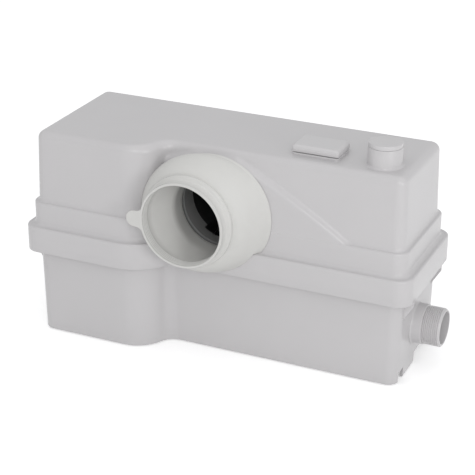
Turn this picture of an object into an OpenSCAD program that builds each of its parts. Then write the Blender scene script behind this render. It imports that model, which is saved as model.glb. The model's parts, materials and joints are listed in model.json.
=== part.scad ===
// Macerator toilet pump: grinds and lifts the waste of a floor outlet pan.
// The origin lies on the floor under the middle of the tank, the pan side faces -Y.

/* [Casing] */
// Width of the casing at its waist
casing_w = 458; // [450:1:480]
// Depth of the casing over the bulge
casing_d = 180.4; // [178:0.2:190]
// Height of the casing without the caps
casing_h = 265; // [262:1:290]
// How far the right part of the front stands back from the bulge
front_step = 39.6; // [37:0.2:41]
// Where the flat front of the bulge ends
bulge_x = -114; // [-120:1:-108]
// Outer radius of the bulge's flank
bulge_r = 45; // [42:1:48]
// Radius of the valley between bulge and front
valley_r = 20; // [18:1:24]
// Radius of the upright corners
corner_r = 12.5; // [11:0.5:16]
// Radius of the cover's top edge
top_r = 10; // [6:1:11]
// Wall thickness of tank and cover
wall = 3; // [2.4:0.1:3.4]
// How much the cover narrows towards its top
cover_draft = 1.9; // [0.5:0.1:2.5]
// How much the tank narrows towards the floor
tank_draft = 1.8; // [0.5:0.1:2.5]

/* [Rim and step] */
// Height of the lower edge of the rim
rim_z = 112; // [108:1:114]
// Height of the rim band
rim_h = 33.4; // [32:0.2:36]
// Height of the step band above the rim
step_h = 29.9; // [26:0.1:34]
// How far the rim stands out
rim_out = 13.5; // [13:0.1:15]
// How far the step band stands out
step_out = 5; // [4:0.1:5.5]
// Corner radius of the rim
rim_corner_r = 19; // [17:0.5:24]
// Rounding of the rim and step edges
edge_r = 2.4; // [1.5:0.1:2.8]
// Height of the bead along the rim's outer edge
bead_h = 0.8; // [0.4:0.1:1.2]
// Thickness of the tank's flange
flange_t = 4; // [3:0.5:5]
// Thickness of the cover gasket
gasket_t = 3; // [2:0.5:4]

/* [Tank base] */
// Height of the recess under the tank floor
recess_h = 15; // [12:0.5:15]
// How far the foot pads lift the skirt
pad_lift = 1; // [0.5:0.5:2]
// Radius of a foot pad
pad_r = 13; // [11:0.5:14]
// Thickness of a foot pad
pad_t = 4; // [3:0.5:6]
// Width of the small notch in the right skirt
notch_w = 17; // [12:1:20]
// Width of the skirt's tongue behind the notch
tongue_w = 40; // [34:1:44]
// Length of the lifting recess behind the tongue
grip_w = 56; // [40:1:58]

/* [Sleeve] */
// Height of the inlet above the floor
inlet_z = 187; // [185:0.5:188]
// Place of the casing's inlet along the width
inlet_x = -4; // [-7:0.5:-2]
// How far the sleeve's mouth is offset to the left
mouth_shift = 18; // [12:0.5:18]
// Length of the sleeve in front of its seat
sleeve_len = 56.5; // [54:0.5:62]
// Inner radius of the sleeve, for a pan spigot of 102 mm
sleeve_r = 50; // [49:0.25:50.5]
// Wall thickness at the mouth
mouth_t = 3; // [2.6:0.1:3.4]
// Largest radius of the sleeve's belly
belly_r = 75; // [73:0.5:75]
// Length of the straight bore behind the mouth
mouth_len = 18; // [16:0.5:20]
// Length of the pull tab
tab_len = 18; // [12:1:20]

/* [Side inlet] */
// Height of the side inlet's centre
side_z = 56; // [54:0.5:58]
// Place of the side inlet along the depth
side_y = 18; // [14:0.5:20]
// Crest radius of the G 1 1/2 thread
thread_r = 23.9; // [23.9]
// Pitch of the thread
thread_pitch = 2.31; // [2.31]
// Bore radius of the side inlet
side_bore_r = 20; // [18:0.5:20]
// Length of the plain collar
collar_len = 13; // [11:0.5:16]

/* [Top fittings] */
// Place of the outlet stub along the width
stub_x = 190.5; // [188:0.5:194]
// Place of the outlet stub along the depth
stub_y = -14.5; // [-16:0.5:-10]
// Outer radius of the outlet stub
stub_r = 20.3; // [20:0.1:21]
// Height of the stub above the cover
stub_h = 23; // [20:1:26]
// Thickness of the outlet plug's head
plug_head_t = 5; // [4:0.5:7]
// Width of the vent cap
vent_w = 58; // [50:1:60]
// Depth of the vent cap
vent_d = 40; // [38:1:42]
// Height of the vent cap's body
vent_h = 8.5; // [7:0.5:11]
// Place of the vent along the width
vent_x = 110; // [108:1:114]
// Place of the vent along the depth
vent_y = -8; // [-10:1:-6]

/* [Motor] */
// Radius of the motor housing
housing_r = 55; // [52:1:56]
// Wall of the motor housing
housing_t = 3; // [2.5:0.5:4]
// Rear end of the motor housing
motor_x0 = -209; // [-211:1:-206]
// Front end of the motor housing
motor_x1 = -88; // [-88:1:-87]
// Place of the shaft along the depth
shaft_y = 18; // [16:1:19]
// Radius of the shaft
shaft_r = 8; // [7:0.25:8.5]
// Length of the stator core
stack_len = 60; // [50:1:64]
// Radius of the rotor core
rotor_r = 31.6; // [29:0.2:32]
// Outer radius of the bearings
bearing_r = 17.5; // [17:0.5:18.5]
// Width of the bearings
bearing_w = 11; // [9:1:12]

/* [Pump] */
// Outer radius of the volute
volute_r = 48; // [47:0.5:49]
// Radius of the volute's chamber
chamber_r = 40; // [39:0.5:41]
// Length of the volute
volute_len = 38; // [38:0.5:40]
// Radius of the impeller
impeller_r = 36; // [32:0.5:37]
// Number of impeller vanes
vane_n = 5; // [4:1:7]
// Thickness of the suction plate
suction_t = 4; // [3:0.5:5]
// Length of the grinding basket
basket_len = 81; // [78:1:84]
// Wall of the grinding basket
basket_t = 1.5; // [1:0.25:2]
// Radius of the basket's holes
hole_r = 3.5; // [2.5:0.25:4]
// Sweep radius of the cutter blades
blade_r = 42; // [38:0.5:43]

/* [Discharge] */
// Place of the discharge line along the depth
line_y = 56; // [55:0.5:57]
// Outer radius of the discharge pipe
pipe_r = 16; // [15:0.5:16]
// Wall of the discharge pipe
pipe_t = 3; // [2.5:0.5:3.5]
// Bend radius of the discharge pipe
bend_r = 22; // [20:1:24]
// Distance from the cover's top to the pipe's centre
pipe_drop = 40; // [39:1:41]
// Outer radius of the volute's outlet neck
neck_r = 17; // [16:0.5:17]
// Inner half width of the valve chamber
valve_half = 20; // [19.5:0.5:20.5]
// Radius of the valve flap
flap_r = 17; // [15:0.5:17]

/* [Level sensing] */
// Place of the pressure tube along the width
level_x = 100; // [96:1:106]
// Place of the pressure tube along the depth
level_y = 8; // [6:1:12]
// Outer radius of the pressure tube
tube_r = 24; // [22:0.5:26]
// Height of the pressure tube
tube_h = 148; // [140:1:152]
// Radius of the membrane
membrane_r = 31; // [30:0.5:32]

/* [Hidden] */
$fn = 64;

// Small shared values
eps = 0.02;
slip = 0.05;
gap = 0.3;
run_gap = 0.05;
over = 1;
hw = casing_w / 2;
hd = casing_d / 2;
face_y = -hd + front_step;
seat_y = face_y - step_out;
step_z = rim_z + rim_h;
waist_z = step_z + step_h;
mouth_y = seat_y - sleeve_len;
mouth_x = inlet_x - mouth_shift;
floor_z = recess_h;
floor_top = floor_z + wall;
flange_z = rim_z + 3.5;
seal_z = flange_z + flange_t;
tongue_z = seal_z + gasket_t;
roof_z = casing_h - wall;

white = [0.78, 0.775, 0.78];
rubber_white = [0.83, 0.825, 0.815];
dark_grey = [0.2, 0.2, 0.21];
black = [0.08, 0.08, 0.085];
steel = [0.72, 0.73, 0.75];
blue_grey = [0.42, 0.46, 0.52];
copper = [0.72, 0.45, 0.25];

// Points along an arc
function arc(cx, cy, r, a0, a1, n) =
    [for (i = [0:n]) let (a = a0 + (a1 - a0) * i / n) [cx + r * cos(a), cy + r * sin(a)]];

// Plan outline of the casing, grown by off, with the corner radius rc
flank_dx = sqrt(pow(bulge_r + valley_r, 2) - pow(bulge_r + valley_r - front_step, 2));
flank_a = atan2(front_step - valley_r - bulge_r, flank_dx);
function plan(off, rc) = concat(
    arc(-hw - off + rc, hd + off - rc, rc, 90, 180, 5),
    arc(-hw - off + rc, -hd - off + rc, rc, 180, 270, 5),
    arc(bulge_x, -hd + bulge_r, bulge_r + off, -90, flank_a, 8),
    arc(bulge_x + flank_dx, face_y - valley_r, valley_r - off, 180 + flank_a, 90, 6),
    arc(hw + off - rc, face_y - off + rc, rc, -90, 0, 5),
    arc(hw + off - rc, hd + off - rc, rc, 0, 90, 5)
);
function plan_ring(z, off, rc) = [for (p = plan(off, rc)) [p[0], p[1], z]];

// Ring of points round an axis along Y, seen from the pan
ring_n = 48;
function round_ring(x, y, z, r) =
    [for (i = [0:ring_n - 1]) let (a = 360 * i / ring_n) [x + r * cos(a), y, z + r * sin(a)]];

// Closed skin through rings with the same number of points, the first one in sight of all the others
module skin(rings) {
    n = len(rings[0]);
    last = (len(rings) - 1) * n;
    polyhedron(
        points = [for (r = rings) for (p = r) p],
        faces = concat(
            [[for (i = [0:n - 1]) i]],
            [[for (i = [0:n - 1]) last + (n - i) % n]],
            [for (k = [0:len(rings) - 2]) for (i = [0:n - 1]) let (j = (i + 1) % n)
                [k * n + i, (k + 1) * n + i, (k + 1) * n + j, k * n + j]]
        )
    );
}

// Round bars along the three axes, from a start point
module bar_x(p, r, len) { translate(p) rotate([0, 90, 0]) cylinder(r = r, h = len); }
module bar_y(p, r, len) { translate(p) rotate([-90, 0, 0]) cylinder(r = r, h = len); }
module bar_z(p, r, len) { translate(p) cylinder(r = r, h = len); }

// Rings along X and Z
module tube_x(p, r, bore, len) {
    difference() {
        bar_x(p, r, len);
        bar_x(p - [over, 0, 0], bore, len + 2 * over);
    }
}
module tube_z(p, r, bore, len) {
    difference() {
        bar_z(p, r, len);
        bar_z(p - [0, 0, over], bore, len + 2 * over);
    }
}

// Box between two corners
module block(a, b) { translate(a) cube(b - a); }

// Places of the five foot pads
pad_places = [
    [0, 0],
    [-hw + 29, -hd + 29], [-hw + 29, hd - 24],
    [hw - 32, face_y + 30], [hw - 32, hd - 24]
];

// Places of the cover screws, in the rim outside the gasket
screw_off = 6.4;
screw_r = 2.4;
screw_head_r = 3.7;
screw_boss_r = 4.7;
screw_head_h = 3;
screw_reach = 15;
screw_in = 30;
screw_mid = 70;
screw_front = 80;
screw_side_y = 30;
screw_places = concat(
    [for (x = [-hw + screw_in, bulge_x - 10]) [x, -hd - screw_off]],
    [for (x = [screw_front, hw - screw_in]) [x, face_y - screw_off]],
    [for (x = [-hw + screw_in, -screw_mid, screw_mid, hw - screw_in]) [x, hd + screw_off]],
    [for (s = [-1, 1]) [s * (hw + screw_off), screw_side_y]]
);

// Tank
tank_foot_r = 1.5;
spigot_x = hw + collar_len;
spigot_r = thread_r + 0.7;
thread_len = 9 * thread_pitch;
thread_depth = 1.2;
thread_crest = 0.55;
seat_len = 7;
flap_pin_r = 2;
flap_pin_z = side_z + side_bore_r + 9;
side_flap_t = 3;
side_seat_x = hw - wall - seat_len;
side_flap_x = side_seat_x - gap - side_flap_t;
lug_t = 4;
lug_gap = 6;

module thread_profile() {
    turns = 9;
    polygon(concat(
        [[0, 0]],
        [for (i = [0:turns - 1]) for (q = [
            [thread_r, i * thread_pitch],
            [thread_r, i * thread_pitch + thread_crest],
            [thread_r - thread_depth, (i + 0.5) * thread_pitch + thread_crest / 2]
        ]) q],
        [[thread_r, turns * thread_pitch], [thread_r, turns * thread_pitch + thread_crest],
         [thread_r - thread_depth, turns * thread_pitch + thread_crest + thread_depth],
         [0, turns * thread_pitch + thread_crest + thread_depth]]
    ));
}

// Side inlet spigot, set through the tank's wall, with the flap's seat at its inner end
module side_spigot() {
    color(white) difference() {
        union() {
            bar_x([side_seat_x, side_y, side_z], spigot_r, spigot_x - side_seat_x + eps);
            translate([spigot_x, side_y, side_z]) rotate([0, 90, 0]) rotate_extrude() thread_profile();
        }
        bar_x([side_seat_x - over, side_y, side_z], side_bore_r, seat_len + wall + collar_len + thread_len + 5);
    }
}

// Lugs that carry the flap's pin
module side_lugs() {
    for (s = [-1, 1])
        block([side_flap_x - 3, side_y + s * lug_gap - (s < 0 ? lug_t : 0), flap_pin_z - 4.5],
              [hw - wall / 2, side_y + s * lug_gap + (s > 0 ? lug_t : 0), flap_pin_z + 4.5]);
}

module corner_gusset(sx, y) {
    reach = rim_out - wall - gap;
    points = [
        [hw - 2, rim_z - 27], [hw + 0.5, rim_z - 27], [hw + rim_out - 1.5, rim_z - 8], [hw + rim_out - 1.5, rim_z - gap],
        [hw + reach, rim_z - gap], [hw + reach, flange_z + 1], [hw - 2, flange_z + 1]
    ];
    translate([0, y, 0]) rotate([90, 0, 0]) mirror([sx < 0 ? 1 : 0, 0, 0])
        linear_extrude(4, center = true) polygon(points);
}

module tank_recess() {
    rib_t = 3;
    difference() {
        translate([0, 0, -over]) linear_extrude(recess_h + over) polygon(plan(-wall - tank_draft, corner_r - wall));
        for (x = [-hw / 2, 0, hw / 2]) block([x - rib_t / 2, -hd, pad_t], [x + rib_t / 2, hd, recess_h + over]);
        block([-hw, -rib_t / 2, pad_t], [hw, rib_t / 2, recess_h + over]);
        for (p = pad_places) bar_z([p[0], p[1], pad_t], pad_r + 2, recess_h);
    }
}

module tank() {
    notch_y = side_y - tongue_w - notch_w;
    color(white) difference() {
        union() {
            skin([
                plan_ring(pad_lift, -tank_draft / 2 - tank_foot_r, corner_r),
                plan_ring(pad_lift + tank_foot_r, -tank_draft / 2, corner_r + tank_foot_r),
                plan_ring(flange_z + eps, tank_draft / 2, corner_r + tank_foot_r + 1)
            ]);
            translate([0, 0, flange_z]) linear_extrude(flange_t)
                polygon(plan(rim_out - wall + 0.4 - gap, rim_corner_r - wall));
            for (sx = [-1, 1]) corner_gusset(sx, hd - corner_r - 6);
            corner_gusset(1, face_y + corner_r + 2);
            corner_gusset(-1, -hd + corner_r + 6);
            side_lugs();
        }
        difference() {
            skin([
                plan_ring(floor_top, -tank_draft / 2 - wall, corner_r - 1),
                plan_ring(seal_z + over, tank_draft / 2 - wall, corner_r - 1)
            ]);
            side_lugs();
        }
        tank_recess();
        bar_x([hw - 3 * wall, side_y, side_z], spigot_r + slip, 5 * wall);
        bar_y([side_flap_x + side_flap_t / 2, side_y - 20, flap_pin_z], flap_pin_r, 40);
        for (p = screw_places) bar_z([p[0], p[1], flange_z - over], screw_r + 0.3, flange_t + 2 * over);
        block([hw - 2 * wall - 6, notch_y, -over], [hw + over, notch_y + notch_w, floor_z]);
        block([hw - 2 * wall - 6, side_y, -over], [hw + over, side_y + grip_w, floor_z]);
        block([-hw - over, side_y, -over], [-hw + 2 * wall + 6, side_y + grip_w, floor_z]);
    }
}

module foot_pads() {
    color(black) for (p = pad_places) bar_z([p[0], p[1], 0], pad_r, pad_t);
}

// Cover
waist_off = step_out;
tongue_in = step_out - wall + 0.3;
tongue_out = tongue_in + 2.2;
roof_off = -cover_draft;
inner_off = step_out - wall;
top_slices = 4;
collar_r = 3;
neck_out_r = stub_r + 1.5;
hang_len = 9;
hatch_w = 40;
hatch_d = 28;
gland_x = -150;
gland_z = 215;
gland_r = 8;
sleeve_hole_r = sleeve_r + mouth_t + 0.5;

function top_ring(a) = plan_ring(
    casing_h - top_r + top_r * sin(a),
    -cover_draft - top_r * (1 - cos(a)),
    corner_r - cover_draft - top_r * (1 - cos(a)) + 0.6
);

module cover_skin() {
    skin(concat(
        [
            plan_ring(rim_z, rim_out, rim_corner_r),
            plan_ring(step_z - edge_r, rim_out, rim_corner_r),
            plan_ring(step_z - edge_r * 0.3, rim_out - edge_r * 0.3, rim_corner_r),
            plan_ring(step_z, rim_out - edge_r, rim_corner_r - 1),
            plan_ring(step_z, rim_out - edge_r - 1, rim_corner_r - 2),
            plan_ring(step_z - bead_h, rim_out - edge_r - 2, rim_corner_r - 3),
            plan_ring(step_z - bead_h, step_out + 1, corner_r + 4),
            plan_ring(step_z + 0.4, step_out, corner_r + 3),
            plan_ring(waist_z - edge_r, step_out, corner_r + 3),
            plan_ring(waist_z - edge_r * 0.3, step_out - edge_r * 0.3, corner_r + 2),
            plan_ring(waist_z, step_out - edge_r, corner_r + 1),
            plan_ring(waist_z + 0.3, 1, corner_r + 0.5),
            plan_ring(waist_z + 1.5, 0, corner_r)
        ],
        [for (i = [0:top_slices]) top_ring(90 * i / top_slices)]
    ));
}

module cover_hollow() {
    skin([
        plan_ring(rim_z - over, rim_out - wall + 0.4, rim_corner_r - wall),
        plan_ring(step_z - wall, rim_out - wall + 0.4, rim_corner_r - wall),
        plan_ring(step_z - wall + 0.1, inner_off, corner_r),
        plan_ring(waist_z - wall, inner_off, corner_r),
        plan_ring(waist_z - wall + 0.1, -wall, corner_r - 1),
        plan_ring(casing_h - top_r, -wall - cover_draft, corner_r - wall),
        plan_ring(roof_z, -wall - cover_draft - top_r + wall, corner_r - wall - 3)
    ]);
}

// Forward seat of the sleeve: the face below the slanted crease
crease_n = 5;
crease_drop = 11.5;
crease_x = 24;
crease_w = 138;
crease = [for (i = [0:crease_n]) let (t = i / crease_n)
    [crease_x + crease_w * t, waist_z - 1 + (casing_h - crease_drop - waist_z) * (1 - t) + 14 * t * (1 - t)]];
module sleeve_seat(grow, back) {
    low = [
        [-76, waist_z - 10], [hw - 60, waist_z - 10], [hw - 60, waist_z - 3]
    ];
    high = [[-30, casing_h - crease_drop + 0.5], [-76, casing_h - crease_drop - 13.5]];
    shape = [for (p = concat(low, [for (i = [crease_n:-1:0]) crease[i]], high)) p];
    slope = 3;
    n = len(shape);
    skin([
        [for (p = shape) [p[0] + (p[0] > 0 ? slope : 0), back, p[1] + (p[1] > waist_z ? slope : 0)]],
        [for (p = shape) [p[0], seat_y + grow, p[1]]]
    ]);
}

// Outer shape of the sleeve, grown, as rings from its seat to the shoulder
belly_steps = [
    [0, 73.2, 0], [2.2, 73.6, 0.05], [3.2, 72.6, 0.1], [10, belly_r, 0.5],
    [16, belly_r - 1.2, 0.7], [23, belly_r - 4.2, 0.82], [29, belly_r - 8.2, 0.88], [34, belly_r - 13.5, 0.91]
];
function belly(grow, back) = [for (s = belly_steps)
    round_ring(inlet_x - mouth_shift * s[2], s[0] > 0 ? seat_y - s[0] - grow * 0.6 : back, inlet_z, s[1] + grow)];

// Room for the sleeve: a pocket in the bulge's flank, ending on top of the rim
sleeve_gap = 0.5;
module sleeve_pocket(grow, back, bottom) {
    intersection() {
        skin(belly(grow, back));
        block([-hw, -2 * hd, bottom], [hw, hd, casing_h + hd]);
    }
}

module sleeve_seat_hollow() {
    inner = concat(
        [[inlet_x - 68, waist_z - wall - 1], [hw - 60 - wall, waist_z - wall - 1]],
        [for (i = [crease_n:-1:0]) [crease[i][0] - 1, crease[i][1] - wall]],
        [[inlet_x - 68, crease[0][1] - wall]]
    );
    back = face_y + wall + cover_draft + 2 * over;
    translate([0, back, 0]) rotate([90, 0, 0])
        linear_extrude(back - seat_y - wall - slip) polygon(inner);
}

module cover() {
    hatch = [hatch_w / 2, hatch_d / 2, 0];
    seat_in = seat_y + wall;
    rib_z = step_z - wall;
    color(white) difference() {
        union() {
            difference() {
                union() {
                    cover_skin();
                    sleeve_seat(0, face_y + 1);
                }
                sleeve_pocket(sleeve_gap, seat_y + slip, step_z + slip);
                difference() {
                    cover_hollow();
                    sleeve_pocket(sleeve_gap + wall, seat_in - slip, step_z - wall - slip);
                }
                sleeve_seat_hollow();
            }
            translate([0, 0, tongue_z]) linear_extrude(rib_z - tongue_z + eps) difference() {
                polygon(plan(tongue_out, corner_r + 2));
                polygon(plan(tongue_in, corner_r));
            }
            for (p = screw_places) bar_z([p[0], p[1], tongue_z], screw_boss_r, rib_z - tongue_z + eps);
            bar_y([inlet_x, seat_y - 7, inlet_z], sleeve_hole_r + wall, 7 + wall - gap);
        }
        bar_z([stub_x, stub_y, roof_z - over], neck_out_r + slip, wall + 2 * over);
        bar_y([inlet_x, seat_y - 20, inlet_z], sleeve_hole_r, 60);
        translate([vent_x, vent_y, roof_z - over]) block(-hatch, hatch + [0, 0, wall + 2 * over]);
        bar_y([gland_x, hd - 20, gland_z], gland_r + 0.2, 40);
        for (p = screw_places) bar_z([p[0], p[1], tongue_z - over], screw_r, screw_reach + 2 + over);
    }
}

// Outlet neck, set through the roof, with the round stub above it
module outlet_neck() {
    color(white) difference() {
        union() {
            bar_z([stub_x, stub_y, roof_z - hang_len], neck_out_r, wall + hang_len + 0.5);
            translate([stub_x, stub_y, casing_h]) cylinder(r1 = stub_r + collar_r, r2 = stub_r, h = collar_r);
            bar_z([stub_x, stub_y, casing_h], stub_r, stub_h);
        }
        bar_z([stub_x, stub_y, roof_z - hang_len - over], pipe_r + gap, wall + hang_len + stub_h + 2 * over);
    }
}

module cover_gasket() {
    color(black) difference() {
        translate([0, 0, seal_z]) linear_extrude(gasket_t) difference() {
            polygon(plan(rim_out - wall - 0.6, rim_corner_r - wall - 1));
            polygon(plan(tongue_in - 0.3, corner_r));
        }
        for (p = screw_places) bar_z([p[0], p[1], seal_z - over], screw_r + 0.3, gasket_t + 2 * over);
    }
}

module cover_screws() {
    color(steel) for (p = screw_places) difference() {
        union() {
            bar_z([p[0], p[1], flange_z - screw_head_h], screw_head_r, screw_head_h);
            bar_z([p[0], p[1], flange_z - eps], screw_r, tongue_z - flange_z + screw_reach);
        }
        bar_z([p[0], p[1], flange_z - screw_head_h - over], 1.5, 2 + over, $fn = 6);
    }
}

// Inlet sleeve: eccentric rubber boot, open behind, with a straight bore at the mouth
tube_out_r = sleeve_r + mouth_t;
inner_len = 14;
bead_t = 3.5;
straight_len = 8;
module sleeve_path(r, front) {
    bar_y([mouth_x, front, inlet_z], r, mouth_y + mouth_len - front + eps);
    hull() {
        bar_y([mouth_x, mouth_y + mouth_len, inlet_z], r, eps, $fn = ring_n);
        bar_y([inlet_x, seat_y - straight_len, inlet_z], r, eps, $fn = ring_n);
    }
}

module pull_tab() {
    tip_r = 9.4;
    root_r = 8;
    translate([mouth_x - tube_out_r, mouth_y, inlet_z]) rotate([-90, 0, 0]) {
        linear_extrude(mouth_t) difference() {
            union() {
                translate([-tab_len + tip_r, 0]) circle(tip_r);
                translate([-tab_len + tip_r, -tip_r]) square([tab_len, 2 * tip_r]);
                translate([-3, -tip_r - root_r]) square([8, 2 * (tip_r + root_r)]);
            }
            for (s = [-1, 1]) translate([-root_r, s * (tip_r + root_r)]) circle(root_r);
        }
    }
}

module boot() {
    neck = [
        [36.5, tube_out_r + 3.4, 0.93], [38, tube_out_r + 4.6, 0.95], [41.5, tube_out_r + 4.2, 0.96],
        [43.2, tube_out_r + 0.6, 0.98]
    ];
    boot_t = 3;
    difference() {
        skin(concat(belly(0, seat_y - gap / 3), [for (s = neck)
            round_ring(inlet_x - mouth_shift * s[2], seat_y - s[0], inlet_z, s[1])]));
        skin([for (s = belly_steps) if (s[0] != 2.2 && s[0] < 33)
            round_ring(inlet_x - mouth_shift * s[2], seat_y + (s[0] == 0 ? over : 0) - s[0], inlet_z, s[1] - boot_t)]);
        translate([0, 0, rim_z - over]) linear_extrude(rim_h + over + sleeve_gap)
            polygon(plan(rim_out + sleeve_gap, rim_corner_r));
    }
}

module inlet_sleeve() {
    back_y = seat_y + inner_len;
    color(rubber_white) difference() {
        union() {
            boot();
            sleeve_path(tube_out_r - 0.6, mouth_y + 1);
            bar_y([mouth_x, mouth_y, inlet_z], tube_out_r, 3);
            pull_tab();
            bar_y([inlet_x, seat_y - straight_len, inlet_z], tube_out_r, straight_len + inner_len);
            bar_y([inlet_x, seat_y + wall + gap / 3, inlet_z], tube_out_r + 3, bead_t);
        }
        sleeve_path(sleeve_r, mouth_y - over);
        bar_y([inlet_x, seat_y - straight_len - eps, inlet_z], sleeve_r, back_y - seat_y + straight_len + over);
    }
}

// Inlet chute: dark elbow that carries the waste down into the basket
chute_lip = 6;
chute_r = sleeve_r + 0.2;
chute_back = 28;
chute_cup_r = tube_out_r + 4;
chute_x0 = inlet_x - 34;
chute_x1 = inlet_x + 34;
chute_y0 = -22;
basket_r = volute_r;
shaft_z = floor_top + 2 + housing_r + 6;
module inlet_chute() {
    seat_in = seat_y + wall + 2 * slip;
    lip_y = seat_y + inner_len + chute_lip;
    color(dark_grey) difference() {
        union() {
            bar_y([inlet_x, seat_in, inlet_z], chute_cup_r + 5, 3);
            bar_y([inlet_x, seat_in, inlet_z], chute_cup_r + 3, lip_y - seat_in + 3);
            bar_y([inlet_x, lip_y, inlet_z], chute_r + 3, chute_back + 3 - lip_y);
            block([chute_x0, chute_y0, shaft_z + 20], [chute_x1, chute_back, inlet_z - chute_r + 14]);
        }
        bar_y([inlet_x, seat_in - over, inlet_z], chute_cup_r, lip_y - seat_in + over);
        bar_y([inlet_x, lip_y - over, inlet_z], chute_r, chute_back - lip_y + over);
        block([chute_x0 + 3, chute_y0 + 3, shaft_z], [chute_x1 - 3, chute_back - 3, inlet_z]);
        bar_x([chute_x0 - over, shaft_y, shaft_z], basket_r + 0.4, chute_x1 - chute_x0 + 2 * over);
    }
}

// Vent on top
grille_t = 2;
module vent_grille() {
    size = [vent_w / 2 - 0.8, vent_d / 2 - 0.8, 0];
    hang = [hatch_w / 2 - gap, hatch_d / 2 - gap, 0];
    slots = 5;
    pitch = (hatch_w - 8) / slots;
    color(white) translate([vent_x, vent_y, 0]) difference() {
        union() {
            block(-size + [0, 0, casing_h], size + [0, 0, casing_h + grille_t]);
            block(-hang + [0, 0, casing_h - 20], hang + [0, 0, casing_h + eps]);
        }
        block(-hang + [1.6, 1.6, casing_h - 18.5], hang + [-1.6, -1.6, casing_h]);
        for (i = [0:slots - 1]) translate([(i - (slots - 1) / 2) * pitch, 0, 0])
            block([-1.4, -hatch_d / 2 + 4, casing_h - 21], [1.4, hatch_d / 2 - 4, casing_h + grille_t + over]);
    }
}

module carbon_filter() {
    size = [hatch_w / 2 - gap - 1.6 - gap, hatch_d / 2 - gap - 1.6 - gap, 0];
    color(black) translate([vent_x, vent_y, 0])
        block(-size + [0, 0, casing_h - 18.5], size + [0, 0, casing_h - 2]);
}

module vent_cap() {
    base_z = casing_h + grille_t + 1.3;
    half = [vent_w / 2, vent_d / 2];
    bevel = 2.5;
    lip = [vent_w / 2 - 4.5, vent_d / 2 - 4.5];
    color(white) translate([vent_x, vent_y, 0]) difference() {
        union() {
            skin([for (q = [[base_z, 0], [base_z + vent_h - bevel, 0], [base_z + vent_h, bevel]])
                [for (s = [[-1, -1], [1, -1], [1, 1], [-1, 1]])
                    [s[0] * (half[0] - q[1]), s[1] * (half[1] - q[1]), q[0]]]]);
            block([-lip[0], -lip[1], casing_h + grille_t + 0.05], [lip[0], lip[1], base_z + 1]);
        }
        block([-lip[0] + 2, -lip[1] + 2, casing_h], [lip[0] - 2, lip[1] - 2, base_z + vent_h - 2]);
    }
}

// Outlet stub's plug
plug_r = pipe_r;
plug_len = 11;
plug_head_r = stub_r - gap;
module outlet_plug() {
    head_z = casing_h + stub_h + 0.2;
    ring_z = head_z - plug_len + 3;
    color(white) difference() {
        union() {
            bar_z([stub_x, stub_y, head_z], plug_head_r, plug_head_t - 1);
            translate([stub_x, stub_y, head_z + plug_head_t - 1]) cylinder(r1 = plug_head_r, r2 = plug_head_r - 1, h = 1);
            bar_z([stub_x, stub_y, head_z - plug_len], plug_r, plug_len + eps);
        }
        bar_z([stub_x, stub_y, head_z - plug_len - over], plug_r - 4, plug_len + over);
        tube_z([stub_x, stub_y, ring_z], plug_r + over, plug_r - 1.6, 2.4);
    }
}

module plug_o_ring() {
    ring_z = casing_h + stub_h + 0.2 - plug_len + 3;
    color(black) tube_z([stub_x, stub_y, ring_z + 0.2], plug_r + gap - run_gap, plug_r - 1.6, 2);
}

module outlet_seal() {
    seal_h = 4;
    color(black) tube_z([stub_x, stub_y, roof_z - hang_len - seal_h], neck_out_r, pipe_r + run_gap, seal_h);
}

// Side inlet flap
module side_flap() {
    color(dark_grey) difference() {
        union() {
            bar_x([side_flap_x, side_y, side_z], side_bore_r + 3, side_flap_t);
            bar_y([side_flap_x + side_flap_t / 2, side_y - lug_gap + gap, flap_pin_z], flap_pin_r + 2, 2 * (lug_gap - gap));
            block([side_flap_x, side_y - lug_gap + gap, side_z + side_bore_r - 1],
                  [side_flap_x + side_flap_t, side_y + lug_gap - gap, flap_pin_z]);
        }
        bar_y([side_flap_x + side_flap_t / 2, side_y - 20, flap_pin_z], flap_pin_r + run_gap, 40);
    }
}

module side_flap_pin() {
    color(steel) bar_y([side_flap_x + side_flap_t / 2, side_y - lug_gap - lug_t, flap_pin_z], flap_pin_r, 2 * (lug_gap + lug_t));
}

// Motor, with its shaft along X
end_flange_r = housing_r + 6;
flange_len = 4;
cap_t = 5;
front_t = 4;
bore_in = housing_r - housing_t;
seal_r = 13;
pocket_t = 3.5;
stack_x0 = motor_x0 + 31;
function on_shaft(x) = [x, shaft_y, shaft_z];
function on_circle(x, r, a) = [x, shaft_y + r * cos(a), shaft_z + r * sin(a)];
cap_screw_angles = [45, 135, 225, 315];
cap_screw_pcr = housing_r + 3;

module motor_housing() {
    color(blue_grey) difference() {
        union() {
            bar_x(on_shaft(motor_x0), housing_r, motor_x1 - motor_x0);
            bar_x(on_shaft(motor_x0), end_flange_r, flange_len);
        }
        difference() {
            bar_x(on_shaft(motor_x0 - over), bore_in, motor_x1 - front_t - motor_x0 + over);
            bar_x(on_shaft(motor_x1 - front_t - bearing_w), bearing_r + pocket_t, bearing_w + over);
        }
        bar_x(on_shaft(motor_x1 - front_t - bearing_w - over), bearing_r, bearing_w + over);
        bar_x(on_shaft(motor_x1 - front_t - over), seal_r, front_t + 2 * over);
        for (a = cap_screw_angles) bar_x(on_circle(motor_x0 - over, cap_screw_pcr, a), 1.5, flange_len + 2 * over);
        for (a = pump_screw_angles) bar_x(on_circle(motor_x1 - front_t - over, pump_screw_pcr, a), pump_screw_r, front_t + 2 * over);
    }
}

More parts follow.
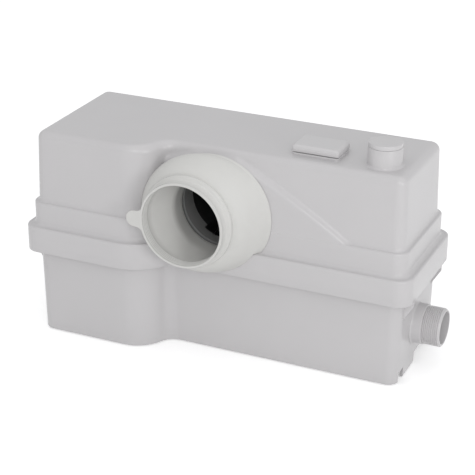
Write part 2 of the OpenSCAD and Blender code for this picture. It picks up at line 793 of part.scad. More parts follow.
module motor_end_cap() {
    color(blue_grey) difference() {
        union() {
            bar_x(on_shaft(motor_x0 - cap_t), end_flange_r, cap_t);
            bar_x(on_shaft(motor_x0 - eps), bearing_r + pocket_t, bearing_w + 4);
        }
        bar_x(on_shaft(motor_x0 + 4), bearing_r, bearing_w + over);
        bar_x(on_shaft(motor_x0 + 1), shaft_r + 2, 10);
        tube_x(on_shaft(motor_x0 - 1.4), housing_r - 0.4, housing_r - 2.4, 1.4 + over);
        for (a = cap_screw_angles) bar_x(on_circle(motor_x0 - cap_t - over, cap_screw_pcr, a), 1.7, cap_t + 2 * over);
    }
}

module end_cap_screws() {
    color(steel) for (a = cap_screw_angles) {
        bar_x(on_circle(motor_x0 - cap_t - 2.2, cap_screw_pcr, a), 2.7, 2.2);
        bar_x(on_circle(motor_x0 - cap_t - eps, cap_screw_pcr, a), 1.5, cap_t + flange_len);
    }
}

module housing_o_ring() {
    color(black) tube_x(on_shaft(motor_x0 - 1.4), housing_r - 0.4, housing_r - 2.4, 1.4);
}

slot_n = 12;
module stator_core() {
    color(steel) difference() {
        tube_x(on_shaft(stack_x0), bore_in, rotor_r + 0.4, stack_len);
        for (i = [0:slot_n - 1]) let (a = 360 * i / slot_n)
            bar_x(on_circle(stack_x0 - over, rotor_r + 7, a), 3.6, stack_len + 2 * over);
    }
}

winding_len = 9;
module stator_windings() {
    winding_r = rotor_r + 8;
    color(copper) for (x = [stack_x0 - winding_len, stack_x0 + stack_len])
        translate(on_shaft(x + winding_len / 2)) rotate([0, 90, 0])
            rotate_extrude() translate([winding_r, 0]) circle(r = winding_len / 2);
}

module rotor_core() {
    ring_len = 4;
    color(steel) {
        tube_x(on_shaft(stack_x0), rotor_r, shaft_r, stack_len);
        for (x = [stack_x0 - ring_len, stack_x0 + stack_len])
            tube_x(on_shaft(x), rotor_r - 3, rotor_r - 10, ring_len);
    }
}

blade_x = motor_x1 + volute_len + suction_t + 8;
blade_t = 3;
nut_len = 7;
module shaft() {
    shaft_x0 = motor_x0 + 3;
    color(steel) bar_x(on_shaft(shaft_x0), shaft_r, blade_x + blade_t + 3 - shaft_x0);
    color(steel) bar_x(on_shaft(blade_x + blade_t + 3 - eps), shaft_r - 2, nut_len + 2);
}

module bearing(x) {
    color(steel) difference() {
        tube_x(on_shaft(x), bearing_r, shaft_r + run_gap, bearing_w);
        for (s = [-over, bearing_w - 1]) tube_x(on_shaft(x + s), bearing_r - 3, shaft_r + 3, 1 + over);
    }
}
module rear_bearing() { bearing(motor_x0 + 4); }
module drive_bearing() { bearing(motor_x1 - front_t - bearing_w); }

volute_wall = 4;
module shaft_seal() {
    color(black) tube_x(on_shaft(motor_x1 - front_t), seal_r, shaft_r + run_gap, front_t + volute_wall);
}

// Pump
volute_x1 = motor_x1 + volute_len;
suction_x1 = volute_x1 + suction_t;
outlet_x = motor_x1 + volute_wall + (volute_len - volute_wall) / 2;
outlet_bore = neck_r - 4;
outlet_top = shaft_z + volute_r + 12;
pump_screw_pcr = (volute_r + chamber_r) / 2;
pump_screw_angles = [-45, 135, 215, 305 - 20];
pump_screw_r = 1.5;

module volute() {
    color(dark_grey) difference() {
        union() {
            bar_x(on_shaft(motor_x1), volute_r, volute_len);
            bar_z([outlet_x, line_y, shaft_z - 8], neck_r, outlet_top - shaft_z + 8);
        }
        bar_x(on_shaft(motor_x1 + volute_wall), chamber_r, volute_len);
        bar_x(on_shaft(motor_x1 - over), seal_r, volute_wall + 2 * over);
        bar_z([outlet_x, line_y, shaft_z], outlet_bore, outlet_top);
        for (a = pump_screw_angles) bar_x(on_circle(motor_x1 - over, pump_screw_pcr, a), pump_screw_r, volute_len + 2 * over);
    }
}

module suction_plate() {
    eye_r = 18;
    color(steel) difference() {
        tube_x(on_shaft(volute_x1), volute_r, eye_r, suction_t);
        for (a = pump_screw_angles) bar_x(on_circle(volute_x1 - over, pump_screw_pcr, a), pump_screw_r + 0.2, suction_t + 2 * over);
    }
}

basket_flange_t = 2;
module pump_screws() {
    head_x = suction_x1 + basket_flange_t;
    color(steel) for (a = pump_screw_angles) {
        bar_x(on_circle(head_x, pump_screw_pcr, a), 2.4, 2.4);
        bar_x(on_circle(motor_x1 - front_t + 0.5, pump_screw_pcr, a), pump_screw_r, head_x - motor_x1 + front_t);
    }
}

module impeller() {
    disc_x = motor_x1 + volute_wall + 4;
    disc_t = 3;
    vane_len = volute_len - volute_wall - 11;
    color(black) difference() {
        union() {
            bar_x(on_shaft(disc_x), impeller_r, disc_t);
            bar_x(on_shaft(disc_x), 13, volute_len - volute_wall - 6);
            translate(on_shaft(disc_x)) for (i = [0:vane_n - 1]) rotate([360 * i / vane_n, 0, 0]) rotate([0, 90, 0])
                linear_extrude(disc_t + vane_len) intersection() {
                    difference() {
                        translate([0, impeller_r * 0.62]) circle(impeller_r * 0.62);
                        translate([0, impeller_r * 0.62]) circle(impeller_r * 0.62 - 3);
                    }
                    circle(impeller_r - 0.5);
                    translate([0, -impeller_r]) square([impeller_r, 2 * impeller_r]);
                }
        }
        bar_x(on_shaft(disc_x - over), shaft_r, volute_len);
    }
}

hole_rows = 4;
hole_step = 24;
hole_n = 8;
hole_start = 75;
module grinding_basket() {
    basket_x1 = suction_x1 + basket_len;
    row_pitch = (basket_len - 20) / hole_rows;
    color(steel) difference() {
        bar_x(on_shaft(suction_x1), basket_r, basket_len);
        bar_x(on_shaft(suction_x1 + basket_flange_t), basket_r - basket_t, basket_len - basket_flange_t - basket_t);
        bar_x(on_shaft(suction_x1 - over), chamber_r, basket_flange_t + 2 * over);
        for (a = pump_screw_angles) bar_x(on_circle(suction_x1 - over, pump_screw_pcr, a), pump_screw_r + 0.2, basket_flange_t + 2 * over);
        block([chute_x0 + 5, chute_y0 + 5, shaft_z], [chute_x1 - 5, chute_back - 5, shaft_z + basket_r + over]);
        for (row = [0:hole_rows - 1]) for (i = [0:hole_n - 1])
            translate(on_shaft(suction_x1 + 14 + row * row_pitch))
                rotate([(i + 0.5 * (row % 2)) * hole_step + hole_start, 0, 0])
                    bar_z([0, 0, basket_r - basket_t - over], hole_r, basket_t + 2 * over);
        for (r = [14, 30]) for (i = [0:r / 3 - 1])
            bar_x(on_circle(basket_x1 - basket_t - over, r, 360 * i / floor(r / 3)), hole_r, basket_t + 2 * over);
    }
}

module cutter_blades() {
    hub_r = 12;
    color(steel) difference() {
        union() {
            bar_x(on_shaft(suction_x1 + 1), hub_r, blade_x + blade_t - suction_x1 - 1);
            for (k = [0:1]) translate(on_shaft(blade_x - k * blade_t)) rotate([k * 90 + 20, 0, 0]) intersection() {
                block([0, -blade_r, -8], [blade_t, blade_r, 8]);
                bar_x([-over, 0, 0], blade_r, blade_t + 2 * over);
            }
        }
        bar_x(on_shaft(suction_x1), shaft_r, 20);
    }
}

module blade_nut() {
    nut_x = blade_x + blade_t + 3;
    color(steel) difference() {
        union() {
            bar_x(on_shaft(nut_x), 11, nut_len, $fn = 6);
            tube_x(on_shaft(blade_x + blade_t), 12, shaft_r, 3);
        }
        bar_x(on_shaft(nut_x - over), shaft_r - 2, nut_len + 2 * over);
    }
}

// Cradle on rubber buffers
cradle_front = 18;
cradle_rear = 20;
cradle_x = [motor_x0 + cradle_front, motor_x1 - cradle_rear];
cradle_w = 76;
saddle_t = 10;
saddle_drop = 24;
buffer_h = 6;
buffer_r = 8;
module motor_cradle() {
    plate_t = 3;
    color(steel) difference() {
        union() {
            block([cradle_x[0], shaft_y - cradle_w / 2, floor_top + buffer_h],
                  [cradle_x[1] + saddle_t, shaft_y + cradle_w / 2, floor_top + buffer_h + plate_t]);
            for (x = cradle_x) block([x, shaft_y - cradle_w / 2, floor_top + buffer_h],
                                     [x + saddle_t, shaft_y + cradle_w / 2, shaft_z - saddle_drop]);
        }
        bar_x(on_shaft(cradle_x[0] - over), housing_r + 0.05, cradle_x[1] - cradle_x[0] + saddle_t + 2 * over);
    }
}

module rubber_buffers() {
    color(black) for (x = cradle_x) for (s = [-1, 1])
        bar_z([x + saddle_t / 2, shaft_y + s * (cradle_w / 2 - buffer_r), floor_top], buffer_r, buffer_h);
}

// Discharge line
hose_t = 3;
valve_z = outlet_top + 14;
hose_z0 = outlet_top - 12;
hose_z1 = valve_z - 3;
seat_t = 4;
riser_len = 3;
valve_t = 3;
hinge_dy = 19;
valve_pin_r = 1.5;
valve_back = hinge_dy + 5;
flap_z = valve_z + seat_t + gap;
flap_t = 3;
hinge_z = flap_z + flap_t / 2;
hinge_r = 3;
ear_w = 12;
lid_t = 3;
pipe_z = casing_h - pipe_drop;
valve_top = pipe_z - bend_r - riser_len - lid_t;

module outlet_hose() {
    color(black) tube_z([outlet_x, line_y, hose_z0], neck_r + hose_t, neck_r + run_gap, hose_z1 - hose_z0);
}

module hose_clips() {
    clip_w = 7;
    color(steel) for (z = [hose_z0 + 2, hose_z1 - 2 - clip_w]) {
        tube_z([outlet_x, line_y, z], neck_r + hose_t + 1, neck_r + hose_t, clip_w);
        block([outlet_x - 6, line_y + neck_r + hose_t + 0.8, z], [outlet_x + 6, line_y + neck_r + hose_t + 5, z + clip_w]);
    }
}

module valve_body() {
    inner_lo = [outlet_x - valve_half, line_y - valve_half, valve_z + seat_t];
    inner_hi = [outlet_x + valve_half, line_y + valve_back, valve_top + over];
    t = [valve_t, valve_t, 0];
    color(dark_grey) difference() {
        union() {
            block([inner_lo[0], inner_lo[1], valve_z] - t, [inner_hi[0], inner_hi[1], valve_top] + t);
            bar_z([outlet_x, line_y, outlet_top + 1], neck_r, valve_z - outlet_top);
        }
        block(inner_lo, inner_hi);
        bar_z([outlet_x, line_y, outlet_top], outlet_bore, valve_z);
        bar_x([outlet_x - valve_half - valve_t + 1, line_y + hinge_dy, hinge_z], valve_pin_r, 2 * (valve_half + valve_t) - 2);
        bar_x([outlet_x - ear_w / 2 - 2 * gap, line_y + hinge_dy, hinge_z], hinge_r + 2 * gap, ear_w + 4 * gap);
    }
}

module valve_lid() {
    lo = [outlet_x - valve_half - valve_t, line_y - valve_half - valve_t, valve_top];
    hi = [outlet_x + valve_half + valve_t, line_y + valve_back + valve_t, valve_top + lid_t];
    color(dark_grey) difference() {
        union() {
            block(lo, hi);
            bar_z([outlet_x, line_y, valve_top], pipe_r + 2.5, lid_t + 3.5);
        }
        bar_z([outlet_x, line_y, valve_top - over], pipe_r - pipe_t, 20);
        bar_z([outlet_x, line_y, valve_top + lid_t], pipe_r + run_gap, 20);
    }
}

module valve_flap() {
    color(black) difference() {
        union() {
            bar_z([outlet_x, line_y, flap_z], flap_r, flap_t);
            block([outlet_x - ear_w / 2, line_y, flap_z], [outlet_x + ear_w / 2, line_y + hinge_dy, flap_z + flap_t]);
            bar_x([outlet_x - ear_w / 2, line_y + hinge_dy, hinge_z], hinge_r, ear_w);
        }
        bar_x([outlet_x - ear_w, line_y + hinge_dy, hinge_z], valve_pin_r + run_gap, 2 * ear_w);
    }
}

module valve_pin() {
    color(steel) bar_x([outlet_x - valve_half - valve_t + 1, line_y + hinge_dy, hinge_z], valve_pin_r, 2 * (valve_half + valve_t) - 2);
}

module pipe_part() {
    difference() {
        circle(r = pipe_r);
        circle(r = pipe_r - pipe_t);
    }
}
module pipe_bend() {
    rotate_extrude(angle = 90) translate([bend_r, 0]) pipe_part();
}

module discharge_pipe() {
    riser_z = valve_top + lid_t;
    end_z = pipe_z + bend_r;
    color(dark_grey) {
        translate([outlet_x, line_y, riser_z]) linear_extrude(pipe_z - bend_r - riser_z) pipe_part();
        translate([outlet_x + bend_r, line_y, pipe_z - bend_r]) rotate([90, 0, 180]) pipe_bend();
        translate([outlet_x + bend_r, line_y, pipe_z]) rotate([90, 0, 90])
            linear_extrude(stub_x - outlet_x - 2 * bend_r) pipe_part();
        translate([stub_x - bend_r, line_y - bend_r, pipe_z]) pipe_bend();
        translate([stub_x, line_y - bend_r, pipe_z]) rotate([90, 0, 0])
            linear_extrude(line_y - stub_y - 2 * bend_r) pipe_part();
        translate([stub_x, stub_y + bend_r, end_z]) rotate([0, 90, 0]) mirror([0, 1, 0]) pipe_bend();
        translate([stub_x, stub_y, end_z]) linear_extrude(roof_z - end_z) pipe_part();
    }
}

// Level sensing
tube_t = 2.5;
tube_foot = 6;
tube_top = floor_top + tube_foot + tube_h;
tube_flange_t = 4;
membrane_t = 1.6;
cap_h = 6;
plunger_r = 5.6;
plunger_h = 13;
nose_r = 1.2;
nose_h = 4;
switch_z = tube_top + membrane_t + cap_h + 12;
lever_t = 0.8;
switch_half = 15;
switch_h = 16;
lever_arm = 13;
module pressure_tube() {
    color(white) difference() {
        union() {
            bar_z([level_x, level_y, floor_top + tube_foot], tube_r, tube_h);
            bar_z([level_x, level_y, tube_top - tube_flange_t], membrane_r + 1, tube_flange_t);
            for (i = [0:2]) translate([level_x, level_y, 0]) rotate([0, 0, 120 * i])
                block([tube_r - tube_t - 3, -3, floor_top], [tube_r, 3, floor_top + tube_foot + 8]);
        }
        bar_z([level_x, level_y, floor_top + tube_foot - over], tube_r - tube_t, tube_h + 2 * over);
        translate([level_x, level_y, 0]) bar_z([0, 0, floor_top - over], tube_r - tube_t, tube_foot + 2 * over);
    }
}

fold_out = 6;
fold_w = 8;
fold_rise = 1.2;
fold_slope = 2;
module membrane() {
    outer = membrane_r - fold_out;
    color(black) translate([level_x, level_y, tube_top]) rotate_extrude() polygon([
        [0, 0], [membrane_r, 0], [membrane_r, membrane_t], [outer, membrane_t],
        [outer - fold_slope, membrane_t + fold_rise], [outer - fold_w + fold_slope, membrane_t + fold_rise],
        [outer - fold_w, membrane_t], [0, membrane_t]
    ]);
}

module membrane_cap() {
    cap_z = tube_top + membrane_t;
    color(white) difference() {
        union() {
            bar_z([level_x, level_y, cap_z], membrane_r + 1, cap_h);
            for (s = [-1, 1]) block([level_x + s * (switch_half + 2) - 2, level_y - 6, cap_z + cap_h - eps],
                                    [level_x + s * (switch_half + 2) + 2, level_y + 6, switch_z + 10]);
        }
        bar_z([level_x, level_y, cap_z - over], membrane_r - 6, cap_h - 2 + over);
        bar_z([level_x, level_y, cap_z - over], plunger_r + gap, cap_h + 2 * over);
    }
}

module plunger() {
    foot_z = tube_top + membrane_t + gap;
    color(dark_grey) {
        bar_z([level_x, level_y, foot_z], plunger_r, plunger_h - nose_h);
        bar_z([level_x, level_y, foot_z], nose_r, plunger_h);
    }
}

lever_z = tube_top + membrane_t + 2 * gap + plunger_h;
lever_pin_x = level_x - lever_arm;
module level_switch() {
    color(black) difference() {
        union() {
            block([level_x - switch_half, level_y - 5, switch_z], [level_x + switch_half, level_y + 5, switch_z + switch_h]);
            for (s = [-1, 1]) block([lever_pin_x - 1.5, level_y + s * 4 - 1, lever_z - 1.2], [lever_pin_x + 2.5, level_y + s * 4 + 1, switch_z + 1]);
            bar_z([level_x + 2, level_y, switch_z - 1.3], 1.2, 2);
        }
        bar_y([lever_pin_x, level_y - 10, lever_z + lever_t / 2], 0.65, 20);
    }
}

module switch_lever() {
    color(steel) {
        block([lever_pin_x - 0.8, level_y - 2.6, lever_z], [level_x + 9, level_y + 2.6, lever_z + lever_t]);
        bar_y([lever_pin_x, level_y - 5, lever_z + lever_t / 2], 0.6, 10);
    }
}

// Electrics over the motor
box_lift = 12;
box_h = 46;
box_front = 46;
box_rear = 34;
box_in = 6;
post_in = 12;
post_r = 6;
box_lo = [motor_x0 + box_in, shaft_y - box_front, shaft_z + housing_r + box_lift];
box_hi = [motor_x1 - 2 * box_in, shaft_y + box_rear, box_lo[2] + box_h];
box_t = 2.5;
module terminal_box() {
    post_x = [box_lo[0] + post_in, box_hi[0] - post_in];
    color(white) difference() {
        union() {
            block(box_lo, box_hi);
            for (x = post_x) bar_z([x, shaft_y, shaft_z + housing_r - post_r], post_r, box_lift + post_r + eps);
        }
        block(box_lo + [box_t, box_t, box_t], box_hi + [-box_t, -box_t, over]);
        bar_x(on_shaft(motor_x0), housing_r + 0.05, motor_x1 - motor_x0);
    }
}

module terminal_lid() {
    color(white) block([box_lo[0] - 1, box_lo[1] - 1, box_hi[2]], [box_hi[0] + 1, box_hi[1] + 1, box_hi[2] + 2.5]);
}

block_lo = [box_hi[0] - 46, box_hi[1] - 30, box_lo[2] + box_t];
module terminal_block() {
    color(white) difference() {
        block(block_lo, block_lo + [38, 20, 16]);
        for (i = [0:3]) bar_z(block_lo + [6 + i * 9, 6, 8], 2.2, 20);
    }
    color(steel) for (i = [0:3]) bar_z(block_lo + [6 + i * 9, 6, 8], 2, 3);
}

cap_can_r = 15;
cap_can_len = 62;
can_start = [box_lo[0] + 8, box_lo[1] + 24, box_lo[2] + box_t + 3 + cap_can_r];
module capacitor() {
    color(steel) bar_x(can_start, cap_can_r, cap_can_len);
    color(black) bar_x(can_start + [cap_can_len - eps, 0, 0], cap_can_r - 1, 4);
}

module capacitor_clip() {
    clip_len = 12;
    color(white) difference() {
        union() {
            bar_x(can_start + [20, 0, 0], cap_can_r + 2, clip_len);
            block([can_start[0] + 20, can_start[1] - 10, box_lo[2] + box_t], [can_start[0] + 20 + clip_len, can_start[1] + 10, can_start[2] - 8]);
        }
        bar_x(can_start + [19, 0, 0], cap_can_r + run_gap, clip_len + 2);
        block(can_start + [19, -cap_can_r / 2, 0], can_start + [21 + clip_len, cap_can_r / 2, cap_can_r * 2]);
    }
}

lead_r = 2.5;
lead_bend = 8;
module motor_lead() {
    lead_x = (box_lo[0] + box_hi[0]) / 2;
    color(black) bar_z([lead_x, shaft_y, shaft_z + housing_r], lead_r, box_lo[2] - shaft_z - housing_r);
}

module lead_turn() {
    rotate_extrude(angle = 90) translate([lead_bend, 0]) circle(r = lead_r);
}
module switch_lead() {
    from_x = level_x - 11;
    to_x = box_hi[0] - 10;
    top_z = roof_z - 9;
    start_z = switch_z + switch_h;
    end_z = box_hi[2] + 2.5;
    color(black) {
        translate([from_x, level_y, start_z]) linear_extrude(top_z - lead_bend - start_z) circle(r = lead_r);
        translate([from_x - lead_bend, level_y, top_z - lead_bend]) rotate([90, 0, 0]) lead_turn();
        translate([to_x + lead_bend, level_y, top_z]) rotate([90, 0, 90])
            linear_extrude(from_x - to_x - 2 * lead_bend) circle(r = lead_r);
        translate([to_x + lead_bend, level_y, top_z - lead_bend]) rotate([90, 0, 180]) lead_turn();
        translate([to_x, level_y, end_z]) linear_extrude(top_z - lead_bend - end_z) circle(r = lead_r);
    }
}

// Cable gland in the back of the cover
gland_y = hd - cover_draft * (gland_z - waist_z) / (casing_h - top_r - waist_z);
module cable_gland() {
    color(dark_grey) difference() {
        union() {
            bar_y([gland_x, gland_y - wall - 7, gland_z], gland_r, wall + 7 + 1);
            bar_y([gland_x, gland_y + gap, gland_z], 12, 5, $fn = 6);
            bar_y([gland_x, gland_y + 5, gland_z], 9.5, 8);
        }
        bar_y([gland_x, gland_y - 20, gland_z], 4, 40);
    }
}

module gland_nut() {
    color(dark_grey) difference() {
        bar_y([gland_x, gland_y - wall - gap - 5, gland_z], 12, 5, $fn = 6);
        bar_y([gland_x, gland_y - 20, gland_z], gland_r, 40);
    }
}

tank();
side_spigot();
cover();
outlet_neck();
cover_gasket();
cover_screws();
foot_pads();
inlet_sleeve();
inlet_chute();
vent_grille();
carbon_filter();
vent_cap();
outlet_plug();
plug_o_ring();
outlet_seal();
side_flap();
side_flap_pin();
motor_housing();
motor_end_cap();
end_cap_screws();
housing_o_ring();
stator_core();
stator_windings();
rotor_core();
shaft();
rear_bearing();
drive_bearing();
shaft_seal();
volute();
suction_plate();
pump_screws();
impeller();
grinding_basket();
cutter_blades();
blade_nut();
motor_cradle();
rubber_buffers();
outlet_hose();
hose_clips();
valve_body();
valve_lid();
valve_flap();
valve_pin();
discharge_pipe();
pressure_tube();
membrane();
membrane_cap();
plunger();
level_switch();
switch_lever();
terminal_box();
terminal_lid();
terminal_block();
capacitor();
capacitor_clip();
motor_lead();
switch_lead();
cable_gland();
gland_nut();
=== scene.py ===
import json
import math

import bmesh
import bpy
from mathutils import Matrix, Vector

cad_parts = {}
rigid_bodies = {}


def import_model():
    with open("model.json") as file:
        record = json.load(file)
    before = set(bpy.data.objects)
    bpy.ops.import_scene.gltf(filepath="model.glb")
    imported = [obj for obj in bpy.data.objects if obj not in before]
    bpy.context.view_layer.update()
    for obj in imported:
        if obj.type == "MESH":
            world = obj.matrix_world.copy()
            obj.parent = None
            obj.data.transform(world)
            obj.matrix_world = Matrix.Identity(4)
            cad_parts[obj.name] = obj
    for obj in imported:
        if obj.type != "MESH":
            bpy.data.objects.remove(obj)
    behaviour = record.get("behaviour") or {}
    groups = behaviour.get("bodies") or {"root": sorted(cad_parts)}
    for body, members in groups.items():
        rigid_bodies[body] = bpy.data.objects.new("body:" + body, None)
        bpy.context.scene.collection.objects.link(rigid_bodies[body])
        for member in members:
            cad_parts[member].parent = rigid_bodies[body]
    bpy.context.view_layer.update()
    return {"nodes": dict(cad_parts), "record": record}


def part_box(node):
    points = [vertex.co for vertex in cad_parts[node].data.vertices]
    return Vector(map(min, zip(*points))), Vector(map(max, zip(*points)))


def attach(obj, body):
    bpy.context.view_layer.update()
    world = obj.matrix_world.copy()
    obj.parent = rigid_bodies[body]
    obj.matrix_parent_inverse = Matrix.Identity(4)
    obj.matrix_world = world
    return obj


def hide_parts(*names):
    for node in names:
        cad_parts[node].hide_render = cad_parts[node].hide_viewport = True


bl_info = {
    "name": "Macerator toilet pump",
    "version": (1, 0, 0),
    "blender": (4, 5, 0),
    "location": "View3D > Sidebar > Pump",
    "description": "Dresses the packed frame of a macerator toilet pump for a picture",
    "category": "Object",
}

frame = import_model()
NODES = frame["nodes"]
COVER_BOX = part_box("cover")
MM = 0.001
TAU = math.tau
QUARTER = math.pi / 2
RIGHT, BACK, UP = (1, 0, 0), (0, 1, 0), (0, 0, 1)


# Sizes and colours that a user may change

def length(name, description, default):
    """A property for a size in metres."""
    return bpy.props.FloatProperty(name=name, description=description, default=default,
                                   subtype="DISTANCE", unit="LENGTH", precision=4)


def degrees(name, description, default):
    """A property for an angle, given in degrees."""
    return bpy.props.FloatProperty(name=name, description=description, default=math.radians(default),
                                   subtype="ANGLE", unit="ROTATION")


def amount(name, description, default, unit="NONE"):
    """A property for a strength, a power or a focal length."""
    return bpy.props.FloatProperty(name=name, description=description, default=default, min=0, unit=unit)


def paint(name, description, default):
    """A property for a colour, written as a display colour and kept as a linear one."""
    linear = [c / 12.92 if c <= 0.04045 else ((c + 0.055) / 1.055) ** 2.4 for c in default]
    return bpy.props.FloatVectorProperty(name=name, description=description, default=linear,
                                         subtype="COLOR", size=3, min=0, max=1)


class CasingSizes(bpy.types.PropertyGroup):
    width: length("Width", "Width of the casing's walls", 0.458)
    depth: length("Depth", "Depth from the bulge to the back wall", 0.1804)
    height: length("Height", "Height of the flat top", COVER_BOX[1].z)
    front_step: length("Bulge depth", "How far the bulge stands before the front wall", 0.0396)
    bulge_x: length("Bulge corner", "Centre of the bulge's rounded corner", -0.114)
    bulge_radius: length("Bulge radius", "Outer radius at the end of the bulge", 0.045)
    valley_radius: length("Valley radius", "Radius where the bulge meets the front wall", 0.020)
    corner_radius: length("Corner radius", "Radius of the upright corners", 0.0125)
    top_radius: length("Top radius", "Radius round the top", 0.010)
    wall: length("Wall", "Thickness of the mouldings", 0.003)
    cover_draft: length("Cover draft", "How far the upper walls lean in", 0.0019)
    tank_draft: length("Tank draft", "How far the lower walls lean out", 0.0018)
    rim_z: length("Rim underside", "Height of the rim's lower edge", COVER_BOX[0].z)
    rim_height: length("Rim height", "Height of the rim band", 0.0334)
    rim_out: length("Rim overhang", "How far the rim stands out", 0.0135)
    rim_corner: length("Rim corner", "Corner radius of the rim", 0.019)
    step_height: length("Step height", "Height of the band above the rim", 0.0299)
    step_out: length("Step overhang", "How far the band above the rim stands out", 0.005)
    edge_radius: length("Edge radius", "Radius on the rim and the step", 0.0024)
    crease_width: length("Crease width", "Width of the soft crease beside the sleeve", 0.0065)


class SleeveSizes(bpy.types.PropertyGroup):
    inlet_x: length("Sleeve centre", "Place of the sleeve across the casing", -0.004)
    inlet_z: length("Sleeve height", "Height of the sleeve's axis", 0.187)
    bore: length("Bore radius", "Inner radius for the pan's spigot", 0.050)
    mouth_wall: length("Mouth wall", "Thickness of the rubber at the mouth", 0.003)
    shift: length("Mouth shift", "How far the mouth is set off from the seat", 0.018)
    reach: length("Reach", "From the seat to the mouth", 0.0565)
    tab: length("Pull tab", "Length of the pull tab", 0.018)
    rib: length("Sealing rib", "Height of the sealing ribs in the mouth", 0.0006)


class FittingSizes(bpy.types.PropertyGroup):
    stub_x: length("Stub across", "Place of the outlet stub across the top", 0.1905)
    stub_y: length("Stub depth", "Place of the outlet stub from front to back", -0.0145)
    stub_radius: length("Stub radius", "Outer radius of the outlet stub", 0.0203)
    stub_height: length("Stub height", "Height of the stub above the top", 0.023)
    vent_x: length("Vent across", "Place of the vent across the top", 0.110)
    vent_y: length("Vent depth", "Place of the vent from front to back", -0.008)
    vent_width: length("Vent width", "Width of the vent cap", 0.058)
    vent_depth: length("Vent depth size", "Depth of the vent cap", 0.040)
    side_y: length("Side inlet depth", "Place of the side inlet from front to back", 0.018)
    side_z: length("Side inlet height", "Height of the side inlet", 0.056)
    thread_radius: length("Thread radius", "Crest radius of the side inlet's thread", 0.0239)
    thread_pitch: length("Thread pitch", "Distance from one thread turn to the next", 0.00231)


class FinishColours(bpy.types.PropertyGroup):
    casing: paint("Casing", "Satin white of the casing", (0.787, 0.779, 0.783))
    rubber: paint("Sleeve", "Off-white rubber of the sleeve", (0.822, 0.819, 0.808))
    fitting: paint("Fittings", "White of the small fittings", (0.795, 0.788, 0.791))
    dark: paint("Dark plastic", "Charcoal plastic of the pump parts", (0.43, 0.43, 0.435))
    # The collar's lighter grey is painted light: it stands in for light that barely reaches the ring inside the sleeve.
    collar: paint("Chute collar", "Grey plastic of the collar behind the sleeve", (0.58, 0.58, 0.58))
    black: paint("Black rubber", "Seals, buffers and leads", (0.13, 0.13, 0.135))
    steel: paint("Steel", "Plated screws, clips and bearings", (0.74, 0.74, 0.76))
    stainless: paint("Stainless", "Ground stainless sheet", (0.80, 0.80, 0.81))
    paint: paint("Motor paint", "Blue grey enamel of the motor", (0.45, 0.49, 0.55))
    copper: paint("Winding wire", "Enamelled copper", (0.72, 0.42, 0.25))


class StageSettings(bpy.types.PropertyGroup):
    azimuth: degrees("Azimuth", "Camera angle round the object", 23.94)
    elevation: degrees("Elevation", "Camera angle above the floor", 24.17)
    roll: degrees("Roll", "Tilt of the picture", 0.37)
    distance: length("Distance", "From the camera to the point that it looks at", 1.8454)
    target: bpy.props.FloatVectorProperty(name="Target", description="Point in the middle of the picture",
                                          default=(0.00107, 0.0, 0.13206), subtype="TRANSLATION", unit="LENGTH", size=3)
    lens: amount("Lens", "Focal length in millimetres on a 36 mm square", 113.8, "CAMERA")
    sky: amount("Sky", "Strength of the even light from all round", 0.70)
    key: amount("Key", "Power of the lamp on the right, in watts", 7.0, "POWER")
    overhead: amount("Overhead", "Power of the large lamp above, in watts", 4.6, "POWER")
    fill: amount("Fill", "Power of the large lamp in front, in watts", 9.0, "POWER")


SETTINGS = {"pump_casing": CasingSizes, "pump_sleeve": SleeveSizes, "pump_fittings": FittingSizes,
            "pump_colours": FinishColours, "pump_stage": StageSettings}


def setting(name):
    """One of the scene's groups of settings."""
    return getattr(bpy.context.scene, name)


def levels():
    """Height of the rim's top, height of the step's top, and depth of the sleeve's seat."""
    s = setting("pump_casing")
    rim_top = s.rim_z + s.rim_height
    return rim_top, rim_top + s.step_height, s.front_step - s.depth / 2 - s.step_out


# Shader maths

class Value:
    """A socket whose arithmetic adds Math nodes to its material."""

    def __init__(self, finish, socket):
        self.finish, self.socket = finish, socket

    def _math(self, operation, *values):
        return self.finish.value("ShaderNodeMath", {"operation": operation}, *values)

    def __add__(self, other):
        return self._math("ADD", self, other)

    def __mul__(self, other):
        return self._math("MULTIPLY", self, other)

    __radd__, __rmul__ = __add__, __mul__

    def over(self, limit):
        """Is 1 above the limit and 0 below it."""
        return self._math("GREATER_THAN", self, limit)

    def step(self, low, high):
        """Goes smoothly from 0 at low to 1 at high."""
        smooth = {"interpolation_type": "SMOOTHSTEP"}
        return self.finish.value("ShaderNodeMapRange", smooth, self, low, high, 0.0, 1.0)


